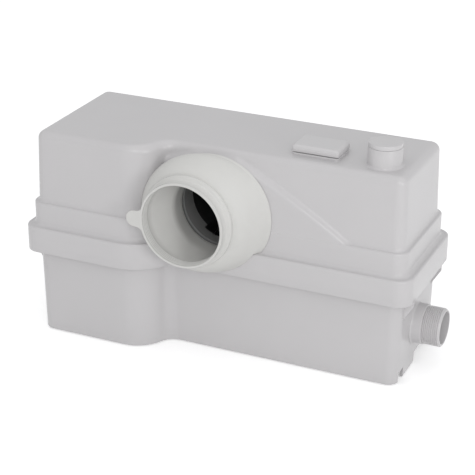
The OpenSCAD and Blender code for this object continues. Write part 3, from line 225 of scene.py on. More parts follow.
class Finish:
    """A node material with one Principled shader."""

    def __init__(self, name):
        self.material = bpy.data.materials.new(name)
        self.material.use_nodes = True
        self.tree = self.material.node_tree
        self.tree.nodes.clear()
        self.shader = self.node("ShaderNodeBsdfPrincipled")
        output = self.node("ShaderNodeOutputMaterial")
        self.tree.links.new(self.shader.outputs[0], output.inputs["Surface"])
        self.place = Value(self, self.node("ShaderNodeTexCoord").outputs["Object"])

    def feed(self, socket, given):
        """Links a socket to a value, or sets it to a number or a colour."""
        if isinstance(given, Value):
            self.tree.links.new(given.socket, socket)
        elif given is not None:
            socket.default_value = given

    def node(self, kind, settings=None, *values, **named):
        """Adds a node, sets its settings, then feeds its sockets, in order or by name."""
        node = self.tree.nodes.new(kind)
        for key, choice in (settings or {}).items():
            setattr(node, key, choice)
        for key, given in [*enumerate(values), *((key.replace("_", " "), given) for key, given in named.items())]:
            self.feed(node.inputs[key], given)
        return node

    def value(self, kind, settings=None, *values, out=0, **named):
        """Adds a node and gives one of its outputs."""
        return Value(self, self.node(kind, settings, *values, **named).outputs[out])

    def set(self, **inputs):
        """Sets the Principled shader's sockets to values or links."""
        for key, given in inputs.items():
            self.feed(self.shader.inputs[key.replace("_", " ")], (*given, 1) if hasattr(given, "__len__") else given)

    def stretched(self, scale):
        """The object's coordinates, stretched."""
        return self.value("ShaderNodeMapping", None, self.place, Scale=scale)

    def noise(self, scale, detail=2.0, roughness=0.5, vector=None):
        """Cloudy noise."""
        return self.value("ShaderNodeTexNoise", None, Vector=vector or self.place, Scale=scale, Detail=detail,
                          Roughness=roughness)

    def mixed(self, share, first, second):
        """Mixes two colours by a share."""
        node = self.node("ShaderNodeMix", {"data_type": "RGBA"})
        for key, given in ((0, share), (6, (*first, 1)), (7, (*second, 1))):
            self.feed(node.inputs[key], given)
        return Value(self, node.outputs[2])

    def bump(self, height, distance, strength=1.0, after=None):
        """A bump by a height, on top of an earlier one."""
        return self.value("ShaderNodeBump", None, Strength=strength, Distance=distance, Height=height, Normal=after)


def shade(colour, factor):
    """A colour made lighter or darker by a factor."""
    return tuple(min(1.0, c * factor) for c in colour)


def moulded(name, colour, low, high, grain, cloud, coat=0.0, coat_roughness=0.25):
    """Moulded plastic: faint clouds, a fine spark-eroded grain and a slow waviness."""
    f = Finish(name)
    clouds = f.noise(9.0, 3.0, 0.55)
    specks = f.noise(1400.0, 2.0, 0.6)
    slow = f.noise(26.0, 1.0, 0.4)
    f.set(Base_Color=f.mixed(clouds.step(0.3, 0.7), shade(colour, 1 - cloud), shade(colour, 1 + cloud * 0.6)),
          Roughness=low + (high - low) * (clouds * 0.6 + specks * 0.4), Coat_Weight=coat,
          Coat_Roughness=coat_roughness, Normal=f.bump(specks, grain, 0.6, f.bump(slow, 0.0006, 0.25)), IOR=1.46)
    return f.material


def soft_rubber(name, colour):
    """Pale moulded rubber: powdery, with faint flow marks and a fine matt skin."""
    f = Finish(name)
    clouds = f.noise(14.0, 4.0, 0.6)
    skin = f.noise(2100.0, 2.0, 0.7)
    flow = f.noise(60.0, 2.0, 0.5, f.stretched((0.4, 1.0, 0.4)))
    f.set(Base_Color=f.mixed(clouds.step(0.3, 0.72), shade(colour, 0.965), shade(colour, 1.015)),
          Roughness=0.46 + 0.14 * clouds + 0.06 * skin, IOR=1.5, Sheen_Weight=0.06, Sheen_Roughness=0.5,
          Normal=f.bump(skin, 0.00003, 0.5, f.bump(flow, 0.0004, 0.3)))
    return f.material


def dark_rubber(name, colour):
    """Black rubber with a bloom of grey and a moulded grain."""
    f = Finish(name)
    bloom = f.noise(45.0, 4.0, 0.6)
    skin = f.noise(1800.0, 2.0, 0.7)
    f.set(Base_Color=f.mixed(bloom.step(0.45, 0.85), colour, shade(colour, 1.9)),
          Roughness=0.55 + 0.25 * bloom, IOR=1.5, Normal=f.bump(skin, 0.00004, 0.6))
    return f.material


def brushed(name, colour, scale, low, high, direction=(1.0, 1.0, 1.0), dull=0.35):
    """Plated or ground metal: fine marks along one way and a slow change of gloss."""
    f = Finish(name)
    marks = f.noise(scale, 3.0, 0.6, f.stretched(direction))
    patches = f.noise(55.0, 3.0, 0.55)
    f.set(Base_Color=f.mixed(patches.step(0.35, 0.75), colour, shade(colour, 1 - dull * 0.4)), Metallic=1.0,
          Roughness=low + (high - low) * (0.5 * marks + 0.5 * patches), Normal=f.bump(marks, 0.00002, 0.5))
    return f.material


def enamel(name, colour):
    """Sprayed enamel on cast metal: orange peel, dust and a soft gloss."""
    f = Finish(name)
    peel = f.noise(420.0, 2.0, 0.5)
    cast = f.noise(120.0, 4.0, 0.6)
    dust = f.noise(20.0, 5.0, 0.65).step(0.5, 0.8)
    f.set(Base_Color=f.mixed(dust * 0.5, colour, shade(colour, 1.5)), Roughness=0.32 + 0.3 * dust, Coat_Weight=0.3,
          Coat_Roughness=0.15, Normal=f.bump(peel, 0.00008, 0.5, f.bump(cast, 0.0002, 0.4)))
    return f.material


def laminations(name):
    """A stack of thin steel sheets, seen as fine lines along the shaft."""
    f = Finish(name)
    sheets = f.value("ShaderNodeTexWave", None, Vector=f.place, Scale=310.0, Distortion=0.2, out=1)
    stain = f.noise(60.0, 4.0, 0.6)
    f.set(Base_Color=f.mixed(sheets * 0.6 + stain * 0.4, (0.10, 0.10, 0.11), (0.34, 0.34, 0.36)), Metallic=0.9,
          Roughness=0.38 + 0.25 * stain, Normal=f.bump(sheets, 0.0001, 0.8))
    return f.material


def winding_wire(name, colour):
    """Varnished copper wire: a warm metal with strands and amber varnish."""
    f = Finish(name)
    varnish = f.noise(90.0, 3.0, 0.6)
    f.set(Base_Color=f.mixed(varnish.step(0.3, 0.7), shade(colour, 0.6), colour), Metallic=0.85,
          Roughness=0.28 + 0.2 * varnish, Coat_Weight=0.6, Coat_Roughness=0.12,
          Normal=f.bump(f.noise(900.0), 0.00005, 0.5))
    return f.material


def open_foam(name):
    """Carbon foam: open cells in a sooty black."""
    f = Finish(name)
    pores = f.value("ShaderNodeTexVoronoi", None, Vector=f.place, Scale=620.0)
    f.set(Base_Color=f.mixed(pores.step(0.1, 0.7), (0.006, 0.006, 0.006), (0.045, 0.045, 0.047)),
          Roughness=0.85 + 0.1 * pores, Normal=f.bump(pores, 0.0009, 1.0))
    return f.material


def drawn_can(name):
    """Drawn aluminium can: bright metal with lines along its length."""
    f = Finish(name)
    lines = f.noise(700.0, 2.0, 0.5, f.stretched((0.05, 1.0, 1.0)))
    f.set(Base_Color=f.mixed(f.noise(30.0, 3.0), (0.62, 0.63, 0.64), (0.78, 0.79, 0.8)), Metallic=1.0,
          Roughness=0.24 + 0.22 * lines, Normal=f.bump(lines, 0.00002, 0.6))
    return f.material


FINISHES = {}


def make_finishes():
    """Makes the material of each slot in the record, and the chute collar's lighter grey, which is painted light for a
    ring that gets little light inside the sleeve.
    """
    c = setting("pump_colours")
    for slot, make, *look in (
            ("casing_white", moulded, c.casing, 0.28, 0.36, 0.00002, 0.012, 0.16, 0.08),
            ("fitting_white", moulded, c.fitting, 0.26, 0.36, 0.00002, 0.012, 0.15, 0.1),
            ("sleeve_rubber", soft_rubber, c.rubber),
            ("dark_plastic", moulded, c.dark, 0.42, 0.62, 0.00005, 0.12),
            # The collar's lighter grey is painted light, for a ring that gets little light inside the sleeve.
            ("collar_grey", moulded, c.collar, 0.42, 0.62, 0.00005, 0.08),
            ("black_rubber", dark_rubber, c.black),
            ("steel", brushed, c.steel, 900.0, 0.22, 0.42),
            ("stainless", brushed, c.stainless, 1300.0, 0.2, 0.38, (0.08, 1.0, 1.0), 0.2),
            ("motor_paint", enamel, c.paint),
            ("lamination", laminations),
            ("copper", winding_wire, c.copper),
            ("carbon", open_foam),
            ("tin_can", drawn_can)):
        FINISHES[slot] = make(slot, *look)


# Modelling helpers

def placed(base, *rows):
    """Rows of millimetres, each number added to its base in metres."""
    return [tuple(start + step * MM for start, step in zip(base, row)) for row in rows]


def ring_edges(bm, loop):
    """The edges of a closed loop of vertices, made where they don't exist."""
    return [bm.edges.get(pair) or bm.edges.new(pair) for pair in zip(loop, loop[1:] + loop[:1])]


def extruded(bm, loop, points):
    """Extrudes a closed loop of vertices and moves the new one to the points."""
    made = bmesh.ops.extrude_edge_only(bm, edges=ring_edges(bm, loop))["geom"]
    made = {g for g in made if isinstance(g, bmesh.types.BMVert)}
    loop = [next(e.other_vert(v) for e in v.link_edges if e.other_vert(v) in made) for v in loop]
    for v, p in zip(loop, points):
        v.co = p
    return loop


def lofted(rings, capped=True):
    """A bmesh through rings of points, closed at both ends, or joined end to end."""
    bm = bmesh.new()
    first = loop = [bm.verts.new(p) for p in rings[0]]
    ring_edges(bm, loop)
    for ring in rings[1:]:
        loop = extruded(bm, loop, ring)
    if capped:
        for end in (first, loop):
            bmesh.ops.contextual_create(bm, geom=ring_edges(bm, end))
    else:
        bmesh.ops.bridge_loops(bm, edges=ring_edges(bm, first) + ring_edges(bm, loop))
    bmesh.ops.recalc_face_normals(bm, faces=bm.faces)
    return bm


def turned(profile, centre, axis, steps=96):
    """A bmesh made by spinning a closed profile, pairs of radius and height, round an axis."""
    centre, axis = Vector(centre), Vector(axis)
    side = axis.orthogonal().normalized()
    bm = bmesh.new()
    loop = [bm.verts.new(centre + side * r + axis * h) for r, h in profile]
    bmesh.ops.spin(bm, geom=loop + ring_edges(bm, loop), cent=centre, axis=axis, dvec=(0, 0, 0), angle=TAU,
                   steps=steps, use_merge=True, use_duplicate=False)
    bmesh.ops.remove_doubles(bm, verts=bm.verts, dist=1e-7)
    bmesh.ops.recalc_face_normals(bm, faces=bm.faces)
    return bm


def root_fillet(radius, foot, size, angles):
    """Points of the hollow fillet where a round piece leaves its wall."""
    return [(radius + size * (1 - math.sin(a)), foot + size * (1 - math.cos(a))) for a in angles]


def block(low, high):
    """A bmesh box between two corners."""
    low, high = Vector(low), Vector(high)
    bm = bmesh.new()
    bmesh.ops.create_cube(bm, size=1.0,
                          matrix=Matrix.Translation((low + high) / 2) @ Matrix.Diagonal((*(high - low), 1)))
    return bm


def upright(x, y, half_x, half_y, low, high):
    """A bmesh box round an upright line."""
    middle, half = Vector((x, y, 0)), Vector((half_x, half_y, 0))
    return block(middle - half + Vector((0, 0, low)), middle + half + Vector((0, 0, high)))


def rod(start, axis, radius, reach, steps=96):
    """A bmesh cylinder from a start point along an axis."""
    axis = Vector(axis)
    turn = Vector(UP).rotation_difference(axis).to_matrix().to_4x4()
    bm = bmesh.new()
    bmesh.ops.create_cone(bm, cap_ends=True, cap_tris=False, segments=steps, radius1=radius, radius2=radius,
                          depth=reach, matrix=Matrix.Translation(Vector(start) + axis * reach / 2) @ turn)
    return bm


def softened(bm, width, segments=2, angle=40.0):
    """Bevels the edges that are sharper than an angle."""
    edges = [e for e in bm.edges if e.is_manifold and e.calc_face_angle() > math.radians(angle)]
    bmesh.ops.bevel(bm, geom=edges, offset=width, offset_type="OFFSET", affect="EDGES", segments=segments,
                    profile=0.5, material=-1, clamp_overlap=True)
    return bm


def slab(points, front, back):
    """A bmesh with an upright outline, pairs of place across and height, extruded from front to back."""
    return lofted([[(x, y, z) for x, z in points] for y in (front, back)])


def as_object(bm, name, group):
    """An object in a collection, made of a bmesh that is used up."""
    mesh = bpy.data.meshes.new(name)
    bm.to_mesh(mesh)
    bm.free()
    obj = bpy.data.objects.new(name, mesh)
    group.objects.link(obj)
    return obj


def carved(bm, tools, operation="DIFFERENCE"):
    """Cuts other bmeshes out of one, or joins them to it."""
    group = bpy.data.collections.new("tools")
    bpy.context.scene.collection.children.link(group)
    base = as_object(bm, "temporary", bpy.context.scene.collection)
    for tool in tools:
        as_object(tool, "temporary", group)
    modifier = base.modifiers.new("carve", "BOOLEAN")
    modifier.operation, modifier.solver = operation, "EXACT"
    modifier.operand_type, modifier.collection = "COLLECTION", group
    result = bmesh.new()
    result.from_object(base, bpy.context.evaluated_depsgraph_get())
    for obj in [base, *group.objects]:
        mesh = obj.data
        bpy.data.objects.remove(obj)
        bpy.data.meshes.remove(mesh)
    bpy.data.collections.remove(group)
    if not result.faces:
        raise RuntimeError("a boolean left nothing")
    return result


def merged(*meshes):
    """One bmesh that holds several."""
    bm = bmesh.new()
    for part in meshes:
        mesh = bpy.data.meshes.new("temporary")
        part.to_mesh(mesh)
        part.free()
        bm.from_mesh(mesh)
        bpy.data.meshes.remove(mesh)
    return bm


def piece(bm, name, body, slot, replaced, crease=32.0):
    """Makes a finished object of a bmesh: shading, material, body, slot and the CAD nodes that it stands for."""
    bmesh.ops.remove_doubles(bm, verts=bm.verts, dist=2e-6)
    bmesh.ops.dissolve_degenerate(bm, edges=bm.edges, dist=1e-6)
    for face in bm.faces:
        face.smooth = True
    limit, many_corners = math.radians(crease), 12
    for edge in bm.edges:
        edge.smooth = (edge.is_manifold and edge.calc_face_angle() < limit
                       and max(len(f.verts) for f in edge.link_faces) < many_corners)
    obj = as_object(bm, name, bpy.context.scene.collection)
    obj.data.materials.append(FINISHES[slot])
    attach(obj, body)
    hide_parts(*replaced)
    return obj


# Outline of the casing

def outline(off, corner, front=100, fine=2):
    """Points round the casing, grown by off, with the given corner radius."""
    s = setting("pump_casing")
    hw, hd = s.width / 2, s.depth / 2
    face = s.front_step - hd
    r1, r2 = s.bulge_radius, s.valley_radius
    rise = r1 + r2 - s.front_step
    dx, turn = math.sqrt((r1 + r2) ** 2 - rise ** 2), -math.asin(rise / (r1 + r2))
    x, y = hw + off - corner, hd + off - corner
    # Each arc: centre, radius, first and last angle, steps along it, and steps of the straight run after it
    arcs = [
        (-x, -y, corner, math.pi, 3 * QUARTER, 4 * fine, 5 * fine),
        (s.bulge_x, r1 - hd, r1 + off, -QUARTER, turn, 7 * fine, 0),
        (s.bulge_x + dx, face - r2, r2 - off, math.pi + turn, QUARTER, 5 * fine, front),
        (x, face - off + corner, corner, -QUARTER, 0.0, 4 * fine, 4 * fine),
        (x, y, corner, 0.0, QUARTER, 4 * fine, 8 * fine),
        (-x, y, corner, QUARTER, math.pi, 4 * fine, 4 * fine),
    ]
    starts = [(cx + r * math.cos(a0), cy + r * math.sin(a0)) for cx, cy, r, a0, *_ in arcs]
    points = []
    for k, (cx, cy, r, a0, a1, steps, run) in enumerate(arcs):
        for i in range(steps + (run > 0)):
            a = a0 + (a1 - a0) * i / steps
            points.append((cx + r * math.cos(a), cy + r * math.sin(a)))
        if run:
            (ax, ay), (bx, by) = points[-1], starts[(k + 1) % len(arcs)]
            points += [(ax + (bx - ax) * i / run, ay + (by - ay) * i / run) for i in range(1, run)]
    return points


def walled(rows, front=12):
    """A bmesh through rings round the casing, each given as height, growth and corner radius."""
    return lofted([[(x, y, z) for x, y in outline(off, corner, front)] for z, off, corner in rows])


def smooth_step(t):
    """Goes smoothly from 0 at 0 to 1 at 1."""
    t = min(1.0, max(0.0, t))
    return t * t * (3 - 2 * t)


# The crease beside the sleeve: it rises on the left, runs level, then falls to the step on the right
CREASE_LEVEL, CREASE_SLOPE, CREASE_SAG = 0.254, 0.30, 0.014
CREASE_FLAT, CREASE_FALL = (-0.030, 0.024), (0.2535, 0.162)
CREASE_LIFT, CREASE_BLEND = 0.85, 0.86
FRONT_WALLS, SEAT_SPAN = -0.040, (-0.1, 0.21)


def crease_height(x, waist):
    """Height of the crease above the sleeve's forward seat, at a place across the front."""
    (x0, x1), (top, end) = CREASE_FLAT, CREASE_FALL
    if x < x1:
        return CREASE_LEVEL + min(x - x0, 0) * CREASE_SLOPE
    t = (x - x1) / (end - x1)
    return (waist - MM) * t + top * (1 - t) + CREASE_SAG * t * (1 - t)


def seated(points, z, inset):
    """Brings the front wall forward to the sleeve's seat, below the crease."""
    s = setting("pump_casing")
    _, waist, seat = levels()
    if z < waist - s.edge_radius * 1.01:
        return [(x, y, z) for x, y in points]
    seat += inset
    soft = 2 * MM
    moved = []
    for x, y in points:
        if y < FRONT_WALLS and SEAT_SPAN[0] < x < SEAT_SPAN[1]:
            above = crease_height(x, waist) + CREASE_LIFT * s.crease_width - z
            share = smooth_step(above / s.crease_width * CREASE_BLEND)
            gap = max(soft - abs(y - seat), 0.0) / soft
            forward = min(y, seat) - gap * gap * soft / 4
            y += (forward - y) * share
        moved.append((x, y, z))
    return moved


def fillet(z, off, radius, start, end, steps, corner):
    """Rings round a fillet whose centre is at z and off."""
    rings = []
    for i in range(steps + 1):
        a = math.radians(start + (end - start) * i / steps)
        rings.append((z + radius * math.sin(a), off + radius * math.cos(a), corner + radius * math.cos(a)))
    return rings


def cover_rings(inner):
    """Height, growth and corner radius of each ring of the cover, from its rim to its top."""
    s = setting("pump_casing")
    rim_top, waist, _ = levels()
    e, out, c = s.edge_radius, s.rim_out, s.corner_radius
    w = s.wall if inner else 0
    if inner:
        rings = [(s.rim_z - MM, out - w, s.rim_corner - w), (rim_top - w, out - w, s.rim_corner - w),
                 (rim_top - w + 0.1 * MM, s.step_out - w, c), (waist - w, s.step_out - w, c),
                 (waist - w + 0.1 * MM, -w, c - w / 2)]
    else:
        step_corner = c + 3 * MM
        rings = placed((s.rim_z, out, s.rim_corner), (0, -0.7, -0.7), (0.2, -0.2, -0.2), (0.7, 0, 0), (16, 0, 0))
        rings += fillet(rim_top - e, out - e, e, 0, 90, 6, s.rim_corner - e)
        hollow = out - e - s.step_out - 0.4 * MM
        for i in range(8):
            up, across = [hollow * (1 - turn(QUARTER * i / 7)) for turn in (math.cos, math.sin)]
            rings.append((rim_top + up, s.step_out + across, step_corner + across))
        rings.append((waist - e - 10 * MM, s.step_out, step_corner))
        rings += fillet(waist - e, s.step_out - e, e, 0, 78, 6, step_corner - e)
        rings += placed((waist, 0, c), (0.05, 2.4, 1.1), (0.5, 1.6, 0.8), (1.3, 0.95, 0.5), (2.6, 0.4, 0.2),
                        (4.2, 0.08, 0.05), (5.6, 0, 0))
    top_r, draft = s.top_radius - w, s.cover_draft + w
    shoulder = s.height - w - top_r
    end_corner = c - s.cover_draft - w + 0.6 * MM
    base, start_off, start_c = rings[-1]
    count, turns = (12, 4) if inner else (38, 10)
    for i in range(1, count):
        t = i / count
        rings.append((base + (shoulder - base) * t, start_off + (-draft - start_off) * t,
                      start_c + (end_corner - start_c) * t))
    crown = fillet(shoulder, -draft - top_r, top_r, 0, 90, turns, end_corner - top_r)
    return rings + [(z, off, max(corner, 0.6 * MM)) for z, off, corner in crown]


def cover_solid(inner=False):
    """The cover's outer shape, or the room inside it."""
    inset = setting("pump_casing").wall if inner else 0.0
    return lofted([seated(outline(off, corner), z, inset) for z, off, corner in cover_rings(inner)])


# Sleeve profile in millimetres: distance before the seat, radius and share of the sideways shift.
# The tube's radii are added to its outer radius.

TUBE = [(-14, -0.6, 0), (-13.4, 0, 0), (-6.65, 0, 0), (-6.6, 2.2, 0), (-5.8, 3, 0), (-3.9, 3, 0), (-3.15, 2.2, 0),
        (-3.1, 0, 0), (4, 0, 0), (8, 0, 0), (8.6, 0.6, 0), (8.9, 2, 0), (8.9, 12, 0.1), (8, 15.5, 0.12),
        (6.5, 17, 0.12), (0.4, 17.2, 0)]
BELLY = [(0.9, 73.75, 0.02), (2.2, 73.6, 0.05), (2.9, 73.1, 0.08), (3.4, 73.0, 0.1), (4.6, 73.7, 0.2),
         (7, 74.6, 0.36), (10, 75, 0.5), (13, 74.7, 0.62), (16, 73.8, 0.7), (19.5, 72.5, 0.77), (23, 70.8, 0.82),
         (26, 69.0, 0.855), (29, 66.8, 0.88), (31.5, 64.4, 0.897), (34, 61.5, 0.91)]
NECK = [(35.3, 58.9, 0.92), (36.1, 57.2, 0.925), (36.6, 56.5, 0.93), (37.0, 56.6, 0.937), (37.5, 57.2, 0.945),
        (38.2, 57.6, 0.95), (40, 57.5, 0.955), (41.3, 57.2, 0.96), (42.1, 56.5, 0.965), (42.7, 55.0, 0.972),
        (43.1, 54.0, 0.98), (43.6, 53.3, 0.985), (44.6, 52.6, 0.99)]
FOOT_RADIUS = 73.2


def sleeve_ring(depth, radius, share, count=120):
    """A ring of the sleeve, at a depth before the seat, shifted sideways towards the mouth."""
    s, seat = setting("pump_sleeve"), levels()[2]
    x = s.inlet_x - s.shift * share
    return [(x + radius * math.cos(TAU * i / count), seat - depth, s.inlet_z + radius * math.sin(TAU * i / count))
            for i in range(count)]


def pocket(grow, back, bottom):
    """Room for the sleeve's dome, grown, in the bulge's flank above the rim."""
    rings = [sleeve_ring(back, FOOT_RADIUS * MM + grow, 0)]
    rings += [sleeve_ring(d * MM + grow * 0.6, r * MM + grow, t) for d, r, t in BELLY]
    bm = lofted(rings)
    bmesh.ops.bisect_plane(bm, geom=bm.verts[:] + bm.edges[:] + bm.faces[:], plane_co=(0, 0, bottom),
                           plane_no=(0, 0, -1), clear_outer=True)
    bmesh.ops.holes_fill(bm, edges=[e for e in bm.edges if e.is_boundary], sides=0)
    bmesh.ops.recalc_face_normals(bm, faces=bm.faces)
    return bm


# Places of the screws that join cover and tank, of the foot pads and of the cable gland's hole in the back wall,
# and half the size of the vent's hole in the roof

SCREWS = [(x * MM, y * MM) for x, y in (
    (-199, -96.6), (-124, -96.6), (80, -57), (199, -57), (-199, 96.6), (-70, 96.6), (70, 96.6), (199, 96.6),
    (-235.4, 30), (235.4, 30))]
PADS = [(x * MM, y * MM) for x, y in ((0, 0), (-200, -61.2), (-200, 66.2), (197, -20.6), (197, 66.2))]
GLAND_X, GLAND_Z = -0.150, 0.215
HATCH = (20 * MM, 14 * MM)


def inset_top(bm, width):
    """Gives a bmesh's highest face a narrow border, so that its shading stays flat."""
    top = max(bm.faces, key=lambda face: face.calc_center_median().z)
    bmesh.ops.inset_individual(bm, faces=[top], thickness=width, depth=0.0)


class PUMP_OT_cover(bpy.types.Operator):
    """Makes the upper casing: rim, step, sleeve seat and top"""
    bl_idname = "pump.cover"
    bl_label = "Cover"

    def execute(self, context):
        s, f, v = setting("pump_casing"), setting("pump_fittings"), setting("pump_sleeve")
        rim_top, _, seat = levels()
        roof = s.height - s.wall
        inside = carved(cover_solid(inner=True), [pocket(3.5 * MM, -s.wall, rim_top - s.wall)])
        shell = cover_solid()
        inset_top(shell, 2.5 * MM)
        shell = carved(shell, [pocket(0.15 * MM, -0.05 * MM, rim_top + 0.05 * MM), inside])
        hole = v.bore + v.mouth_wall + 0.5 * MM
        collar = placed((hole, 0), (0, -7), (2.6, -7), (3, -6.6), (3, 1), (0, 1))
        shell = carved(shell, [turned(collar, (v.inlet_x, seat, v.inlet_z), BACK, 120)], "UNION")
        inlet = rod((v.inlet_x, seat - 20 * MM, v.inlet_z), BACK, hole, 30 * MM, 120)
        shell = carved(shell, [
            rod((f.stub_x, f.stub_y, roof - 12 * MM), UP, f.stub_radius + 1.55 * MM, 60 * MM),
            inlet.copy(),
            upright(f.vent_x, f.vent_y, *HATCH, roof - MM, s.height + MM),
            rod((GLAND_X, s.depth / 2 - 20 * MM, GLAND_Z), BACK, 8.2 * MM, 40 * MM, 48),
        ])
        tongue = walled(placed((rim_top, 0, 0), (-22.9, 4.5, 14.5), (-2.9, 4.5, 14.5)), 40)
        tongue = carved(tongue, [walled(placed((rim_top, 0, 0), (-24, 2.3, 12.5), (-1, 2.3, 12.5)), 40), inlet])
        bosses = [carved(rod((x, y, rim_top - 22.9 * MM), UP, 4.7 * MM, 20 * MM, 32),
                         [rod((x, y, rim_top - 24 * MM), UP, 1.7 * MM, 17 * MM, 24)]) for x, y in SCREWS]
        piece(merged(shell, tongue, *bosses), "cover_moulding", "casing", "casing_white", ["cover"])
        return {"FINISHED"}


class PUMP_OT_outlet_neck(bpy.types.Operator):
    """Makes the outlet stub on the roof and the neck that hangs below it"""
    bl_idname = "pump.outlet_neck"
    bl_label = "Outlet neck"

    def execute(self, context):
        s, f = setting("pump_casing"), setting("pump_fittings")
        r, bore, root = f.stub_radius, f.stub_radius - 4 * MM, 3 * MM
        top, low, foot = s.height + f.stub_height, s.height - s.wall - 9 * MM, s.height + 0.02 * MM
        profile = [(bore, low), *placed((r, low), (1.2, 0), (1.5, 0.3)), (r + 1.5 * MM, foot), (r + root, foot)]
        profile += root_fillet(r, foot, root, (0.15, 0.4, 0.65, 0.9, 1.15, 1.4, 1.5708))
        profile += placed((r, top), (0, -0.7), (-0.2, -0.2), (-0.7, 0)) + placed((bore, top), (0.4, 0), (0, -0.4))
        neck = turned(profile, (f.stub_x, f.stub_y, 0), UP)
        piece(neck, "outlet_neck_moulding", "casing", "casing_white", ["outlet_neck"])
        return {"FINISHED"}


class PUMP_OT_tank(bpy.types.Operator):
    """Makes the lower casing: walls, flange, gussets, lugs and base notches"""
    bl_idname = "pump.tank"
    bl_label = "Tank"

    def execute(self, context):
        s, f = setting("pump_casing"), setting("pump_fittings")
        hw, hd, w, d, c = s.width / 2, s.depth / 2, s.wall, s.tank_draft, s.corner_radius
        face = s.front_step - hd
        flange, seal = s.rim_z + 3.5 * MM, s.rim_z + 7.5 * MM
        seat_x = hw - w - 7 * MM
        pin_x, pin_z, lug_sides = seat_x - 3.3 * MM, f.side_z + 29 * MM, (-10 * MM, 6 * MM)

        def lug(low, right):
            """A lug for the flap's pin, from the wall inwards."""
            return block((pin_x - 3 * MM, f.side_y + low, pin_z - 4.5 * MM),
                         (right, f.side_y + low + 4 * MM, pin_z + 4.5 * MM))

        def notch(side, front, wide):
            """A notch in the lower edge of the left or right wall."""
            ends = sorted((side * (hw - 12 * MM), side * (hw + MM)))
            return block((ends[0], front, -MM), (ends[1], front + wide, 15 * MM))

        rows = fillet(3.0 * MM, -d / 2 - 2.0 * MM, 2.0 * MM, -90, 0, 5, c)
        rows += [(3.0 * MM + (flange - 2.0 * MM) * i / 8, -d / 2 + d * i / 8, c + 2.0 * MM + 0.5 * MM * i / 8)
                 for i in range(1, 9)]
        body = walled(rows + [(flange + MM, d / 2, c + 2.5 * MM)])
        out, lip_corner = s.rim_out - w + 0.1 * MM, s.rim_corner - w
        lip = walled(placed((flange, out, lip_corner), (0, -0.4, -0.4), (0.4, 0, 0))
                     + placed((seal, out, lip_corner), (-0.4, 0, 0), (0, -0.4, -0.4)))
        reach = s.rim_out - w - 0.3 * MM
        shape = placed((hw, s.rim_z), (-2, -27), (0.5, -27))
        shape += placed((hw + s.rim_out, s.rim_z), (-1.5, -8), (-1.5, -0.3))
        shape += [(hw + reach, s.rim_z - 0.3 * MM), (hw + reach, flange + MM), (hw - 2 * MM, flange + MM)]
        corners = ((-1, hd - c - 6 * MM), (1, hd - c - 6 * MM), (1, face + c + 2 * MM), (-1, -hd + c + 6 * MM))
        gussets = [softened(slab([(side * x, z) for x, z in shape], y - 2 * MM, y + 2 * MM), 0.5 * MM)
                   for side, y in corners]
        lugs = [softened(lug(low, hw - w / 2), 0.8 * MM) for low in lug_sides]
        inside = walled(placed((0, -d / 2 - w, c), (18, -2.5, -3.5), (18.8, -0.8, -1.8), (20.5, 0, -1))
                        + [(seal + MM, d / 2 - w, c - MM)])
        inside = carved(inside, [lug(low, hw) for low in lug_sides])
        ribs = [block((x - 1.5 * MM, -hd, 4 * MM), (x + 1.5 * MM, hd, 16 * MM)) for x in (-hw / 2, 0, hw / 2)]
        ribs.append(block((-hw, -1.5 * MM, 4 * MM), (hw, 1.5 * MM, 16 * MM)))
        ribs += [rod((x, y, 4 * MM), UP, 15 * MM, 15 * MM, 48) for x, y in PADS]
        recess = carved(walled([(z, -w - d, c - w) for z in (-MM, 15 * MM)]), ribs)
        shell = carved(carved(body, [inside, recess]), [lip, *gussets, *lugs], "UNION")
        shell = carved(shell, [
            walled(placed((seal, d / 2 - w, c), (-5, 0, -1), (1, 0, -1))),
            rod((hw - 3 * w, f.side_y, f.side_z), RIGHT, f.thread_radius + 0.75 * MM, 5 * w),
            rod((pin_x + 1.5 * MM, f.side_y - 20 * MM, pin_z), BACK, 2 * MM, 40 * MM, 32),
            notch(1, f.side_y - 57 * MM, 17 * MM), notch(1, f.side_y, 56 * MM), notch(-1, f.side_y, 56 * MM),
            *[rod((x, y, flange - MM), UP, 2.3 * MM, 6 * MM, 24) for x, y in SCREWS],
        ])
        piece(shell, "tank_moulding", "casing", "casing_white", ["tank"])
        return {"FINISHED"}


